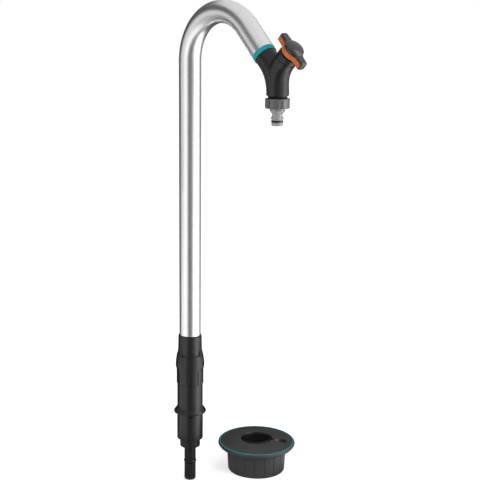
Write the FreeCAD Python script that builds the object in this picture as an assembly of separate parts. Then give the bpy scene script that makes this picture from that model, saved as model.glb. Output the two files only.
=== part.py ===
"""Garden tap on a swivelling standpipe, with the ground collar that it plugs into.

Millimetres, +Z up. The standpipe's axis is the Z axis, the tip of the foot's nose is at z = 0 and
the spout reaches out along +X. The ground collar stands beside the foot on the plane z = 0.
"""
import FreeCAD, Part
import math
import os

from FreeCAD import Placement, Rotation, Vector

# Clearances, and how far a cutter reaches past what it cuts
RUNNING_GAP = 0.05
LOOSE_GAP = 0.3
SEAL_GAP = 0.05
REACH_PAST = 5.0

# Standpipe tube
TUBE_OD = 32.0
TUBE_WALL = 1.5
BEND_START_Z = 643.5
BEND_RADIUS = 70.0
BEND_ANGLE = 135.0
SPOUT_RUN = 81.0

# Foot plug: the nose, its step and the spigot inside the tube
NOSE_RADIUS = 8.85
NOSE_LENGTH = 55.0
NOSE_TIP_ROUND = 2.0
NOSE_BORE_RADIUS = 5.0
NOSE_RING_Z = 30.6
NOSE_RING_CORD = 1.5
NOSE_RING_PROUD = 1.0
NOSE_RING_GROOVE = 4.4
NOSE_RING_RISE = 0.5
STEP_RADIUS = 15.4
STEP_HEIGHT = 13.0
PLUG_THREAD_LENGTH = 28.0
PLUG_THREAD_WALL = 1.25
SPIGOT_LENGTH = 34.0
SPIGOT_BORE_RADIUS = 10.0
SPIGOT_GAP = 0.3
SPIGOT_RING_CORD = 1.3

# Foot barrel and its bell ring
BARREL_WALL = 3.75
UPPER_BARREL_INSET = 0.3
LOWER_BARREL_LENGTH = 43.0
BELL_HEIGHT = 9.5
BELL_REACH = 4.8
BELL_EDGE = 1.4
BELL_TOP_LIP = 0.3
UPPER_BARREL_LENGTH = 37.5
BARREL_NECK_WALL = 2.2
BARREL_NECK_LENGTH = 34.0
LOCK_HOLE_RADIUS = 1.5
LOCK_HOLE_DEPTH = 2.9
LOCK_DROP = 3.4
LOCK_HOLE_AZIMUTH = -35.5

# Grip nut and collet
NUT_HEIGHT = 76.5
NUT_SKIRT_WALL = 2.1
NUT_BULGE = 1.25
NUT_BULGE_HEIGHT = 29.0
NUT_FLARE_HEIGHT = 53.0
NUT_LIP_WALL = 1.3
NUT_LIP_DRAFT = 0.5
NUT_RIM_BEVEL = 1.0
SCOOP_COUNT = 5
SCOOP_AZIMUTH = 0.5
SCOOP_WIDTH = 9.4
SCOOP_HEIGHT = 25.0
SCOOP_CORNER = 2.4
SCOOP_WALL = 1.0
SKIRT_SLOT_COUNT = 8
SKIRT_SLOT_AZIMUTH = -5.0
SKIRT_SLOT_WIDTH = 1.8
SKIRT_SLOT_LENGTH = 20.0
SKIRT_SLOT_RISE = 1.6
SKIRT_SLOT_DEPTH = 1.2
COLLET_HEIGHT = 11.0
COLLET_CONE_HEIGHT = 6.0
COLLET_WALL = 1.2
COLLET_EDGE = 0.2
COLLET_SEAT_GAP = 0.1
COLLET_SPLIT = 3.0

# Valve body: a Y of three arms. The inlet's and the stem's axes cross at the node, where the
# spout run ends, and the outlet's axis stands a little further out
INLET_ARM_INSET = 0.9
STEM_ARM_INSET = 1.2
OUTLET_ARM_LENGTH = 29.8
OUTLET_OFFSET = 2.8
STEM_ARM_LENGTH = 25.6
INLET_ARM_LENGTH = 29.2
INLET_ELBOW_RADIUS = 56.0
STEM_ELBOW_RADIUS = 40.0
INLET_BORE_RADIUS = 9.0
STEM_BORE_RADIUS = 11.0
STEM_BORE_DEPTH = 13.0
OUTLET_BORE_RADIUS = 8.0
INLET_SPIGOT_LENGTH = 30.0
INLET_RING_CORD = 1.3
NECK_RADIUS = 13.2
NECK_LENGTH = 12.5
GROOVE_DEPTH = 0.8
TRIM_RING_WIDTH = 6.6
TRIM_RING_PROUD = 0.25

# Bonnet, rotor and stem along the stem axis
BONNET_HEIGHT = 8.7
BONNET_SPIGOT = 9.0
BONNET_TOP_BEVEL = 0.8
STEM_RADIUS = 5.0
STEM_SQUARE = 7.0
STEM_SQUARE_LENGTH = 8.6
STEM_RING_CORD = 0.9
STEM_TONGUE_WIDTH = 3.0
STEM_TONGUE_HEIGHT = 2.0
ROTOR_WALL = 2.0
ROTOR_CROWN = 3.4
ROTOR_BELOW = 9.5
ROTOR_WINDOW_RADIUS = 6.5
SEAT_WALL = 2.2
SEAT_LENGTH = 5.0
KNOB_LIFT = 0.6

# Knob
KNOB_SPAN = 56.0
BOSS_RADIUS = 13.9
WING_ROOT_WIDTH = 15.0
WING_TIP_WIDTH = 11.2
WING_TIP_CORNER = 3.0
WING_BLEND = 5.0
BASE_FLANGE = 1.3
BASE_INSET = 0.7
ACCENT_HEIGHT = 6.5
ACCENT_WALL = 1.8
ACCENT_CORNER = 2.4
ACCENT_END_LAND = 0.3
CAP_GAP = 0.5
CAP_WING_HEIGHT = 2.9
CAP_INSET = 0.25
CAP_WALL = 1.6
CAP_EDGE_ROUND = 1.2
BOSS_HEIGHT = 5.1
BOSS_CROWN_RISE = 1.5
HUB_RADIUS = 6.8
SCREW_RADIUS = 2.0
SCREW_HEAD_RADIUS = 3.6
SCREW_HEAD_HEIGHT = 2.2
SCREW_LENGTH = 12.0

# Hose connector, from the nut down to the tip of its nose
CONNECTOR_NUT_HEIGHT = 13.0
CONNECTOR_WALL = 3.0
CONNECTOR_FLOOR = 2.5
CONNECTOR_TOP_GAP = 4.0
LOBE_COUNT = 6
LOBE_GROOVE_AZIMUTH = -26.5
LOBE_GROOVE_WIDTH = 3.4
LOBE_GROOVE_DEPTH = 1.7
SHOULDER_RADIUS = 9.7
SHOULDER_HEIGHT = 4.0
SHOULDER_TAPER = 3.0
LATCH_NECK_RADIUS = 6.8
LATCH_NECK_LENGTH = 4.6
FLANGE_RADIUS = 8.4
FLANGE_HEIGHT = 2.0
LAND_RADIUS = 7.5
LAND_HEIGHT = 2.2
HOSE_RING_CORD = 1.2
HOSE_RING_PROUD = 0.7
TIP_LENGTH = 4.4
TIP_BEVEL = 0.7
HOSE_BORE_RADIUS = 4.2
WASHER_THICKNESS = 2.0

# Ground collar, beside the foot
COLLAR_X = 36.8
COLLAR_Y = 106.6
COLLAR_RIM_RADIUS = 60.7
COLLAR_HEIGHT = 46.0
RIM_THICKNESS = 7.0
SKIRT_TOP_RADIUS = 47.0
SKIRT_DRAFT = 2.6
SKIRT_WALL = 3.0
SKIRT_LINE_COUNT = 18
SKIRT_LINE_AZIMUTH = -47.0
SKIRT_LINE_WIDTH = 0.9
SKIRT_LINE_DEPTH = 0.6
DECK_THICKNESS = 3.0
DECK_DROP = 8.0
HUB_WALL = 2.6
HUB_DROP = 30.0
RIB_COUNT = 4
RIB_AZIMUTH = 45.0
RIB_THICKNESS = 2.2
RIB_HEIGHT = 21.0
COLLAR_TRIM_WIDTH = 1.8
COLLAR_TRIM_HEIGHT = 1.5
COLLAR_TRIM_INSET = 1.9
DOME_RISE = 4.6
COVER_WALL = 2.2
COVER_RECESS = 2.3
COVER_LEDGE = 3.0
SLEEVE_WALL = 1.7
SLEEVE_LIP_RISE = 5.0
DIRT_SEAL_THICKNESS = 1.5
SLIDER_AZIMUTH = 36.0
SLIDER_WIDTH = 8.6
SLIDER_THICKNESS = 3.4
SLIDER_LENGTH = 20.0
SLIDER_TONGUE_RADIUS = 1.2
SLIDER_SLOT_END = 47.5
THUMB_WIDTH = 5.4
THUMB_LENGTH = 3.6
THUMB_RISE = 2.0
MARK_RADIUS = 4.1
MARK_HEIGHT = 0.5
MARK_OFFSET = 6.2
COVER_SCREW_COUNT = 4
COVER_SCREW_RADIUS = 1.6
COVER_SCREW_HEAD_RADIUS = 2.9
COVER_SCREW_HEAD_HEIGHT = 1.8
COVER_BOSS_RADIUS = 3.4

# Radii that follow from the tube
TUBE_RADIUS = TUBE_OD / 2
TUBE_BORE_RADIUS = TUBE_RADIUS - TUBE_WALL
BARREL_BORE = TUBE_RADIUS + RUNNING_GAP
BARREL_RADIUS = BARREL_BORE + BARREL_WALL
UPPER_BARREL_RADIUS = BARREL_RADIUS - UPPER_BARREL_INSET
BARREL_NECK_RADIUS = BARREL_BORE + BARREL_NECK_WALL
PLUG_THREAD_RADIUS = TUBE_RADIUS + PLUG_THREAD_WALL
SPIGOT_RADIUS = TUBE_BORE_RADIUS - SPIGOT_GAP
OUTLET_ARM_RADIUS = TUBE_RADIUS - INLET_ARM_INSET
STEM_ARM_RADIUS = TUBE_RADIUS - STEM_ARM_INSET
NUT_BORE = BARREL_NECK_RADIUS + LOOSE_GAP
NUT_SKIRT_RADIUS = NUT_BORE + NUT_SKIRT_WALL
NUT_LIP_BORE = TUBE_RADIUS + LOOSE_GAP
NUT_LIP_RADIUS = NUT_LIP_BORE + NUT_LIP_WALL
BELL_RADIUS = BARREL_RADIUS + BELL_REACH

# Heights along the foot
BARREL_Z = NOSE_LENGTH + STEP_HEIGHT
PLUG_TOP_Z = BARREL_Z + PLUG_THREAD_LENGTH
BELL_Z = BARREL_Z + LOWER_BARREL_LENGTH
BELL_TOP_Z = BELL_Z + BELL_HEIGHT
NUT_Z = BELL_TOP_Z + UPPER_BARREL_LENGTH
NUT_TOP_Z = NUT_Z + NUT_HEIGHT
BARREL_TOP_Z = NUT_Z + BARREL_NECK_LENGTH
COLLET_Z = BARREL_TOP_Z - COLLET_CONE_HEIGHT
COLLET_TOP_Z = COLLET_Z + COLLET_HEIGHT
TUBE_END_Z = PLUG_TOP_Z + LOOSE_GAP

# The spout: centre of the bend, end of the bend and the valve's node
BEND_CENTRE = Vector(BEND_RADIUS, 0, BEND_START_Z)
BEND_TURN = math.radians(BEND_ANGLE)
SPOUT_DIRECTION = Vector(math.sin(BEND_TURN), 0, math.cos(BEND_TURN))
BEND_END = BEND_CENTRE + Vector(-math.cos(BEND_TURN), 0, math.sin(BEND_TURN)) * BEND_RADIUS
NODE = BEND_END + SPOUT_DIRECTION * SPOUT_RUN
INLET_TILT = BEND_ANGLE - 180.0
STEM_TILT = BEND_ANGLE - 90.0
OUTLET_X = NODE.x + OUTLET_OFFSET
OUTLET_Z = NODE.z - OUTLET_ARM_LENGTH
NECK_END_Z = OUTLET_Z - NECK_LENGTH
BONNET_BASE = STEM_ARM_LENGTH
BONNET_TOP = BONNET_BASE + BONNET_HEIGHT
KNOB_BOTTOM = BONNET_TOP + KNOB_LIFT
ROTOR_RADIUS = STEM_BORE_RADIUS - LOOSE_GAP
ROTOR_TOP = BONNET_BASE - BONNET_SPIGOT - LOOSE_GAP


def revolved(points):
    """Solid of revolution about Z; each point is (radius, height), three points in a tuple make
    an arc whose middle and end points follow the outline's last point."""
    edges = []
    start = Vector(points[0][0], 0, points[0][1])
    first = start
    for item in points[1:] + [points[0]]:
        if isinstance(item[0], tuple):
            middle = Vector(item[0][0], 0, item[0][1])
            end = Vector(item[1][0], 0, item[1][1])
            edges.append(Part.Arc(start, middle, end).toShape())
        else:
            end = first if item == points[0] else Vector(item[0], 0, item[1])
            if end.distanceToPoint(start) > 1e-6:
                edges.append(Part.LineSegment(start, end).toShape())
        start = end
    face = Part.Face(Part.Wire(edges))
    return face.revolve(Vector(0, 0, 0), Vector(0, 0, 1), 360)


def cylinder(radius, low, high):
    """Upright cylinder on the Z axis between two heights."""
    return Part.makeCylinder(radius, high - low, Vector(0, 0, low))


def pipe(outer, inner, low, high):
    """Upright tube on the Z axis between two heights."""
    return cylinder(outer, low, high).cut(cylinder(inner, low - 1, high + 1))


def o_ring(centre_radius, cord, height):
    """O-ring on the Z axis."""
    return Part.makeTorus(centre_radius, cord, Vector(0, 0, height))


def ring_groove(floor_radius, width, height):
    """Ring-shaped cutter that leaves a groove with its floor at the given radius."""
    outer = floor_radius + REACH_PAST
    return pipe(outer, floor_radius, height - width / 2, height + width / 2)


def groove_width(cord):
    """Width of the groove for an O-ring whose section has the given radius."""
    return 2 * (cord + SEAL_GAP)


def radial_pocket(width, low, high, corner, inner, outer, azimuth):
    """Prism with rounded corners that points outwards from the Z axis at an azimuth."""
    half = width / 2
    block = Part.makeBox(outer - inner, width, high - low, Vector(inner, -half, low))
    along = [
        edge
        for edge in block.Edges
        if abs(edge.tangentAt(edge.FirstParameter).x) > 0.99
    ]
    block = block.makeFillet(min(corner, half * 0.98), along)
    block.rotate(Vector(0, 0, 0), Vector(0, 0, 1), azimuth)
    return block


def radial_pin(radius, inner, outer, height, azimuth):
    """Round bar that points outwards from the Z axis at an azimuth."""
    bar = Part.makeCylinder(radius, outer - inner, Vector(inner, 0, height), Vector(1, 0, 0))
    bar.rotate(Vector(0, 0, 0), Vector(0, 0, 1), azimuth)
    return bar


def around(shape, count):
    """Copies of a shape, evenly spaced round the Z axis."""
    copies = []
    for index in range(count):
        copy = shape.copy()
        copy.rotate(Vector(0, 0, 0), Vector(0, 0, 1), index * 360.0 / count)
        copies.append(copy)
    return copies


def on_arm(shape, tilt):
    """Moves a shape built on the Z axis to an arm of the valve body, tilted towards +X."""
    placed = shape.copy()
    placed.Placement = Placement(NODE, Rotation(Vector(0, 1, 0), tilt)).multiply(placed.Placement)
    return placed


def at_outlet(shape):
    """Moves a shape built on the Z axis sideways to the outlet's axis."""
    placed = shape.copy()
    placed.translate(Vector(OUTLET_X, 0, 0))
    return placed


def at_collar(shape):
    """Moves a shape built on the Z axis to the ground collar's axis."""
    placed = shape.copy()
    placed.translate(Vector(COLLAR_X, COLLAR_Y, 0))
    return placed


def swept_round(path, radius, start, direction):
    """Solid round bar of one radius along a path."""
    circle = Part.Wire(Part.makeCircle(radius, start, direction))
    return path.makePipeShell([circle], True, False)


def plug_nose():
    """Nose, step and hidden thread and spigot of the foot, bored for the water."""
    tip = NOSE_TIP_ROUND
    mid = tip * (1 - math.sqrt(0.5))
    outline = [
        (NOSE_BORE_RADIUS, 0),
        (NOSE_RADIUS - tip, 0),
        ((NOSE_RADIUS - mid, mid), (NOSE_RADIUS, tip)),
        (NOSE_RADIUS, NOSE_LENGTH),
        (STEP_RADIUS, NOSE_LENGTH),
        (STEP_RADIUS, BARREL_Z),
        (PLUG_THREAD_RADIUS, BARREL_Z),
        (PLUG_THREAD_RADIUS, PLUG_TOP_Z),
        (SPIGOT_RADIUS, PLUG_TOP_Z),
        (SPIGOT_RADIUS, PLUG_TOP_Z + SPIGOT_LENGTH),
        (SPIGOT_BORE_RADIUS, PLUG_TOP_Z + SPIGOT_LENGTH),
        (SPIGOT_BORE_RADIUS, BARREL_Z),
        (NOSE_BORE_RADIUS, NOSE_LENGTH),
    ]
    body = revolved(outline)
    floor = NOSE_RADIUS + NOSE_RING_PROUD - 2 * NOSE_RING_CORD
    body = body.cut(ring_groove(floor, NOSE_RING_GROOVE, NOSE_RING_Z - NOSE_RING_RISE))
    for height in spigot_ring_heights():
        floor = spigot_ring_floor(SPIGOT_RING_CORD)
        body = body.cut(ring_groove(floor, groove_width(SPIGOT_RING_CORD), height))
    return body


def spigot_ring_heights():
    """Heights of the two O-rings inside the tube's lower end."""
    return [PLUG_TOP_Z + SPIGOT_LENGTH * share for share in (0.45, 0.75)]


def spigot_ring_floor(cord):
    """Groove floor radius that leaves an O-ring just clear of the tube's bore."""
    return TUBE_BORE_RADIUS - SEAL_GAP - 2 * cord


def plug_oring():
    """O-ring that stands proud of the nose."""
    return o_ring(NOSE_RADIUS + NOSE_RING_PROUD - NOSE_RING_CORD, NOSE_RING_CORD, NOSE_RING_Z)


def spigot_orings():
    """The two O-rings between the foot's spigot and the tube."""
    centre = spigot_ring_floor(SPIGOT_RING_CORD) + SPIGOT_RING_CORD
    rings = [o_ring(centre, SPIGOT_RING_CORD, height) for height in spigot_ring_heights()]
    return Part.makeCompound(rings)


def foot_barrel():
    """Sleeve round the tube, with its neck under the nut, its cone seat and the locking hole."""
    outline = [
        (PLUG_THREAD_RADIUS, BARREL_Z),
        (BARREL_RADIUS, BARREL_Z),
        (BARREL_RADIUS, BELL_Z),
        (UPPER_BARREL_RADIUS, BELL_Z),
        (UPPER_BARREL_RADIUS, NUT_Z - LOOSE_GAP),
        (BARREL_NECK_RADIUS, NUT_Z - LOOSE_GAP),
        (BARREL_NECK_RADIUS, BARREL_TOP_Z),
        (BARREL_BORE + COLLET_WALL, BARREL_TOP_Z),
        (BARREL_BORE, COLLET_Z),
        (BARREL_BORE, PLUG_TOP_Z),
        (PLUG_THREAD_RADIUS, PLUG_TOP_Z),
    ]
    body = revolved(outline)
    hole = radial_pin(
        LOCK_HOLE_RADIUS,
        BARREL_RADIUS - LOCK_HOLE_DEPTH,
        BARREL_RADIUS + 2,
        BELL_Z - LOCK_DROP,
        LOCK_HOLE_AZIMUTH,
    )
    return body.cut(hole)


def bell_ring():
    """Bell-shaped ring pushed over the upper barrel, down to its shoulder; flat underneath."""
    shoulder = BARREL_RADIUS + BELL_REACH * 0.42
    outline = [
        (UPPER_BARREL_RADIUS, BELL_Z),
        (BELL_RADIUS, BELL_Z),
        (BELL_RADIUS, BELL_Z + BELL_EDGE),
        ((shoulder, BELL_Z + BELL_HEIGHT * 0.56), (UPPER_BARREL_RADIUS + BELL_TOP_LIP, BELL_TOP_Z)),
        (UPPER_BARREL_RADIUS, BELL_TOP_Z),
    ]
    return revolved(outline)


def clamp_collet():
    """Split ring with a cone that the nut presses into the barrel's seat."""
    inner = BARREL_BORE + RUNNING_GAP
    outer = BARREL_BORE + COLLET_WALL - COLLET_SEAT_GAP
    slope = COLLET_WALL / COLLET_CONE_HEIGHT
    low = BARREL_TOP_Z - (outer - inner - COLLET_EDGE) / slope
    outline = [
        (inner, low),
        (inner + COLLET_EDGE, low),
        (outer, BARREL_TOP_Z),
        (outer, COLLET_TOP_Z),
        (inner, COLLET_TOP_Z),
    ]
    body = revolved(outline)
    split = Part.makeBox(
        TUBE_OD,
        COLLET_SPLIT,
        COLLET_HEIGHT + 2 * REACH_PAST,
        Vector(0, -COLLET_SPLIT / 2, COLLET_Z - REACH_PAST),
    )
    return body.cut(split)


def grip_nut():
    """Fluted nut: a slotted skirt, a bulge and a slim lip round the tube, with finger scoops."""
    bulge_z = NUT_Z + NUT_BULGE_HEIGHT
    flare_z = NUT_Z + NUT_FLARE_HEIGHT
    bulge = NUT_SKIRT_RADIUS + NUT_BULGE
    lip = NUT_LIP_RADIUS + NUT_LIP_DRAFT
    outline = [
        (NUT_BORE, NUT_Z),
        (NUT_SKIRT_RADIUS, NUT_Z),
        (NUT_SKIRT_RADIUS, bulge_z - 6.0),
        ((NUT_SKIRT_RADIUS + NUT_BULGE * 0.7, bulge_z - 3.6), (bulge, bulge_z)),
        ((bulge - 0.85, bulge_z + 11.5), (lip + 0.1, flare_z)),
        (NUT_LIP_RADIUS, NUT_TOP_Z - 2 * NUT_RIM_BEVEL),
        (NUT_LIP_RADIUS - NUT_RIM_BEVEL, NUT_TOP_Z),
        (NUT_LIP_BORE, NUT_TOP_Z),
        (NUT_LIP_BORE, COLLET_TOP_Z),
        (NUT_BORE, COLLET_TOP_Z),
    ]
    body = revolved(outline)
    scoop_top = NUT_TOP_Z - 6.0
    scoop = radial_pocket(
        SCOOP_WIDTH,
        scoop_top - SCOOP_HEIGHT,
        scoop_top,
        SCOOP_CORNER,
        NUT_LIP_BORE + SCOOP_WALL,
        bulge + 5,
        SCOOP_AZIMUTH,
    )
    slot_low = NUT_Z + SKIRT_SLOT_RISE
    slot = radial_pocket(
        SKIRT_SLOT_WIDTH,
        slot_low,
        slot_low + SKIRT_SLOT_LENGTH,
        SKIRT_SLOT_WIDTH / 2,
        NUT_SKIRT_RADIUS - SKIRT_SLOT_DEPTH,
        NUT_SKIRT_RADIUS + 5,
        SKIRT_SLOT_AZIMUTH,
    )
    return body.cut(around(scoop, SCOOP_COUNT) + around(slot, SKIRT_SLOT_COUNT))


def riser_path(end_distance):
    """Centreline of the tube from its lower end to a distance down the spout's straight run."""
    low = Vector(0, 0, TUBE_END_Z)
    start = Vector(0, 0, BEND_START_Z)
    half = BEND_TURN / 2
    middle = BEND_CENTRE + Vector(-math.cos(half), 0, math.sin(half)) * BEND_RADIUS
    end = BEND_END + SPOUT_DIRECTION * end_distance
    return Part.Wire(
        [
            Part.LineSegment(low, start).toShape(),
            Part.Arc(start, middle, BEND_END).toShape(),
            Part.LineSegment(BEND_END, end).toShape(),
        ]
    )


def riser_tube():
    """The bent aluminium tube, open at both ends."""
    end_distance = SPOUT_RUN - INLET_ARM_LENGTH - TRIM_RING_WIDTH
    path = riser_path(end_distance)
    low = Vector(0, 0, TUBE_END_Z)
    up = Vector(0, 0, 1)
    outer = swept_round(path, TUBE_RADIUS, low, up)
    inner = swept_round(path, TUBE_BORE_RADIUS, low, up)
    return outer.cut(inner)


def trim_ring():
    """Coloured ring between the tube's end and the valve body."""
    ring = pipe(
        TUBE_RADIUS + TRIM_RING_PROUD,
        SPIGOT_RADIUS,
        INLET_ARM_LENGTH,
        INLET_ARM_LENGTH + TRIM_RING_WIDTH,
    )
    return on_arm(ring, INLET_TILT)


def elbow(radius, bend_radius, arm_direction, arm_length):
    """Round arm that turns from the outlet's axis to another arm's axis, where the two cross."""
    down = Vector(0, 0, -1)
    middle_direction = down.add(arm_direction)
    middle_direction.normalize()
    half_turn = down.getAngle(arm_direction) / 2
    reach = bend_radius / math.tan(half_turn)
    corner = NODE + arm_direction * (OUTLET_OFFSET / arm_direction.x)
    centre = corner + middle_direction * (bend_radius / math.sin(half_turn))
    low = Vector(OUTLET_X, 0, OUTLET_Z)
    first = corner + down * reach
    last = corner + arm_direction * reach
    path = Part.Wire(
        [
            Part.LineSegment(low, first).toShape(),
            Part.Arc(first, centre - middle_direction * bend_radius, last).toShape(),
            Part.LineSegment(last, NODE + arm_direction * arm_length).toShape(),
        ]
    )
    return swept_round(path, radius, low, Vector(0, 0, 1))


def valve_body():
    """Y housing: two swept elbows that share the outlet leg, three bores, spigot and neck."""
    stem_direction = Vector(-SPOUT_DIRECTION.z, 0, SPOUT_DIRECTION.x)
    inlet_arm = elbow(
        OUTLET_ARM_RADIUS, INLET_ELBOW_RADIUS, SPOUT_DIRECTION * -1, INLET_ARM_LENGTH
    )
    stem_arm = elbow(STEM_ARM_RADIUS, STEM_ELBOW_RADIUS, stem_direction, STEM_ARM_LENGTH)
    spigot_end = INLET_ARM_LENGTH + INLET_SPIGOT_LENGTH
    spigot = on_arm(cylinder(SPIGOT_RADIUS, INLET_ARM_LENGTH - 5, spigot_end), INLET_TILT)
    neck = at_outlet(cylinder(NECK_RADIUS, NECK_END_Z, OUTLET_Z + 5))
    body = inlet_arm.fuse([stem_arm, spigot, neck]).removeSplitter()

    cutters = [
        on_arm(cylinder(INLET_BORE_RADIUS, 0, spigot_end + 1), INLET_TILT),
        on_arm(cylinder(STEM_BORE_RADIUS, -STEM_BORE_DEPTH, STEM_ARM_LENGTH + 1), STEM_TILT),
        at_outlet(cylinder(OUTLET_BORE_RADIUS, NECK_END_Z - 1, NODE.z)),
        on_arm(arm_end_bevel(), STEM_TILT),
    ]
    for height in inlet_ring_heights():
        groove = ring_groove(
            spigot_ring_floor(INLET_RING_CORD), groove_width(INLET_RING_CORD), height
        )
        cutters.append(on_arm(groove, INLET_TILT))
    return body.cut(cutters)


def arm_end_bevel():
    """Cutter that bevels the stem arm's end, one half of the groove under the bonnet."""
    high = STEM_ARM_LENGTH
    outline = [
        (STEM_ARM_RADIUS - GROOVE_DEPTH, high),
        (STEM_ARM_RADIUS + 2, high - GROOVE_DEPTH - 2),
        (STEM_ARM_RADIUS + 2, high + 1),
        (STEM_ARM_RADIUS - GROOVE_DEPTH, high + 1),
    ]
    return revolved(outline)


def inlet_ring_heights():
    """Places of the two O-rings along the inlet spigot."""
    start = INLET_ARM_LENGTH + TRIM_RING_WIDTH
    length = INLET_SPIGOT_LENGTH - TRIM_RING_WIDTH
    return [start + length * share for share in (0.35, 0.7)]


def inlet_orings():
    """The two O-rings between the valve body's spigot and the tube."""
    centre = spigot_ring_floor(INLET_RING_CORD) + INLET_RING_CORD
    rings = [o_ring(centre, INLET_RING_CORD, height) for height in inlet_ring_heights()]
    return on_arm(Part.makeCompound(rings), INLET_TILT)


def seat_seal():
    """Rubber seat in the inlet bore, saddled against the rotor's round side."""
    seat = pipe(
        INLET_BORE_RADIUS,
        INLET_BORE_RADIUS - SEAT_WALL,
        ROTOR_RADIUS - 4,
        ROTOR_RADIUS + SEAT_LENGTH,
    )
    clearance = cylinder(STEM_BORE_RADIUS + 0.01, -INLET_BORE_RADIUS * 2, INLET_BORE_RADIUS * 2)
    return on_arm(seat, INLET_TILT).cut(on_arm(clearance, STEM_TILT))


def bonnet_ring():
    """Headpiece screwed into the stem arm, which guides the stem."""
    bore = STEM_RADIUS + RUNNING_GAP
    spigot = STEM_BORE_RADIUS - RUNNING_GAP
    outline = [
        (bore, BONNET_BASE - BONNET_SPIGOT),
        (spigot, BONNET_BASE - BONNET_SPIGOT),
        (spigot, BONNET_BASE),
        (STEM_ARM_RADIUS - GROOVE_DEPTH, BONNET_BASE),
        (STEM_ARM_RADIUS, BONNET_BASE + GROOVE_DEPTH),
        (STEM_ARM_RADIUS, BONNET_TOP - BONNET_TOP_BEVEL),
        (STEM_ARM_RADIUS - BONNET_TOP_BEVEL, BONNET_TOP),
        (bore, BONNET_TOP),
    ]
    body = revolved(outline)
    groove = ring_groove(bonnet_ring_floor(), groove_width(STEM_RING_CORD), bonnet_seal_height())
    return on_arm(body.cut(groove), STEM_TILT)


def bonnet_ring_floor():
    """Groove floor radius of the bonnet's outer O-ring."""
    return STEM_BORE_RADIUS - SEAL_GAP - 2 * STEM_RING_CORD


def bonnet_seal_height():
    """Place of the bonnet's outer O-ring along the stem axis."""
    return BONNET_BASE - BONNET_SPIGOT / 2


def bonnet_oring():
    """O-ring between the bonnet and the stem arm."""
    ring = o_ring(bonnet_ring_floor() + STEM_RING_CORD, STEM_RING_CORD, bonnet_seal_height())
    return on_arm(ring, STEM_TILT)


def tongue(clearance, low, high):
    """Cross key between the stem and the rotor, with a clearance all round."""
    width = STEM_TONGUE_WIDTH + 2 * clearance
    length = 2 * (STEM_RADIUS - 0.4) + 2 * clearance
    return Part.makeBox(length, width, high - low, Vector(-length / 2, -width / 2, low))


def valve_rotor():
    """Cup that turns in the stem bore: open below, closed above, with a window for the inlet."""
    cup = cylinder(ROTOR_RADIUS, -ROTOR_BELOW, ROTOR_TOP)
    hollow = cylinder(ROTOR_RADIUS - ROTOR_WALL, -ROTOR_BELOW - 1, ROTOR_TOP - ROTOR_CROWN)
    window = Part.makeCylinder(ROTOR_WINDOW_RADIUS, 2 * ROTOR_RADIUS, Vector(), Vector(-1, 0, 0))
    slot = tongue(RUNNING_GAP, ROTOR_TOP - STEM_TONGUE_HEIGHT, ROTOR_TOP + 1)
    return on_arm(cup.cut([hollow, window, slot]), STEM_TILT)


def stem_ring_heights():
    """Places of the stem's two O-rings inside the bonnet."""
    return [BONNET_BASE + BONNET_HEIGHT * share for share in (0.0, 0.45)]


def valve_stem():
    """Stem with its key below, two ring grooves and a square head above."""
    square_low = KNOB_BOTTOM
    square_high = KNOB_BOTTOM + STEM_SQUARE_LENGTH
    half = STEM_SQUARE / 2
    body = cylinder(STEM_RADIUS, ROTOR_TOP, square_low)
    body = body.fuse(tongue(0, ROTOR_TOP - STEM_TONGUE_HEIGHT, ROTOR_TOP + 1))
    body = body.fuse(
        Part.makeBox(
            STEM_SQUARE,
            STEM_SQUARE,
            square_high - square_low + 1,
            Vector(-half, -half, square_low - 1),
        )
    )
    cutters = [cylinder(SCREW_RADIUS, square_high - SCREW_LENGTH, square_high + 1)]
    for height in stem_ring_heights():
        cutters.append(ring_groove(stem_ring_floor(), groove_width(STEM_RING_CORD), height))
    return on_arm(body.cut(cutters), STEM_TILT)


def stem_ring_floor():
    """Groove floor radius of the stem's O-rings."""
    return STEM_RADIUS + RUNNING_GAP - SEAL_GAP / 2 - 2 * STEM_RING_CORD


def stem_orings():
    """The two O-rings on the stem."""
    centre = stem_ring_floor() + STEM_RING_CORD
    rings = [o_ring(centre, STEM_RING_CORD, height) for height in stem_ring_heights()]
    return on_arm(Part.makeCompound(rings), STEM_TILT)


def knob_prism(inset, low, high):
    """Knob outline, a round boss with two tapered wings, as an upright prism."""
    tip = WING_TIP_WIDTH / 2 - inset
    root = WING_ROOT_WIDTH / 2 - inset
    end = KNOB_SPAN / 2 - inset
    height = high - low
    pieces = [cylinder(BOSS_RADIUS - inset, low, high)]
    for side in (1, -1):
        corners = [
            Vector(0, -root, low),
            Vector(side * end, -tip, low),
            Vector(side * end, tip, low),
            Vector(0, root, low),
        ]
        wing = Part.Face(Part.makePolygon(corners + [corners[0]])).extrude(Vector(0, 0, height))
        tips = [edge for edge in wing.Edges if is_tip_edge(edge, side * end)]
        pieces.append(wing.makeFillet(WING_TIP_CORNER - inset, tips))
    body = pieces[0].fuse(pieces[1:]).removeSplitter()
    waist = [edge for edge in body.Edges if is_waist(edge, height, BOSS_RADIUS - inset)]
    return body.makeFillet(WING_BLEND + inset, waist)


def is_tip_edge(edge, end):
    """True for an upright edge at a wing's end."""
    low, high = edge.Vertexes[0].Point, edge.Vertexes[-1].Point
    upright = abs(low.x - high.x) < 1e-6 and abs(low.y - high.y) < 1e-6
    return upright and abs(low.x - end) < 1e-6


def is_waist(edge, height, boss_radius):
    """True for an upright edge where a wing meets the boss, and not for the boss's own seam."""
    low, high = edge.Vertexes[0].Point, edge.Vertexes[-1].Point
    upright = abs(abs(high.z - low.z) - height) < 1e-6
    on_boss = abs(math.hypot(low.x, low.y) - boss_radius) < 1e-4
    return upright and on_boss and abs(low.y) > 1e-4


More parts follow.
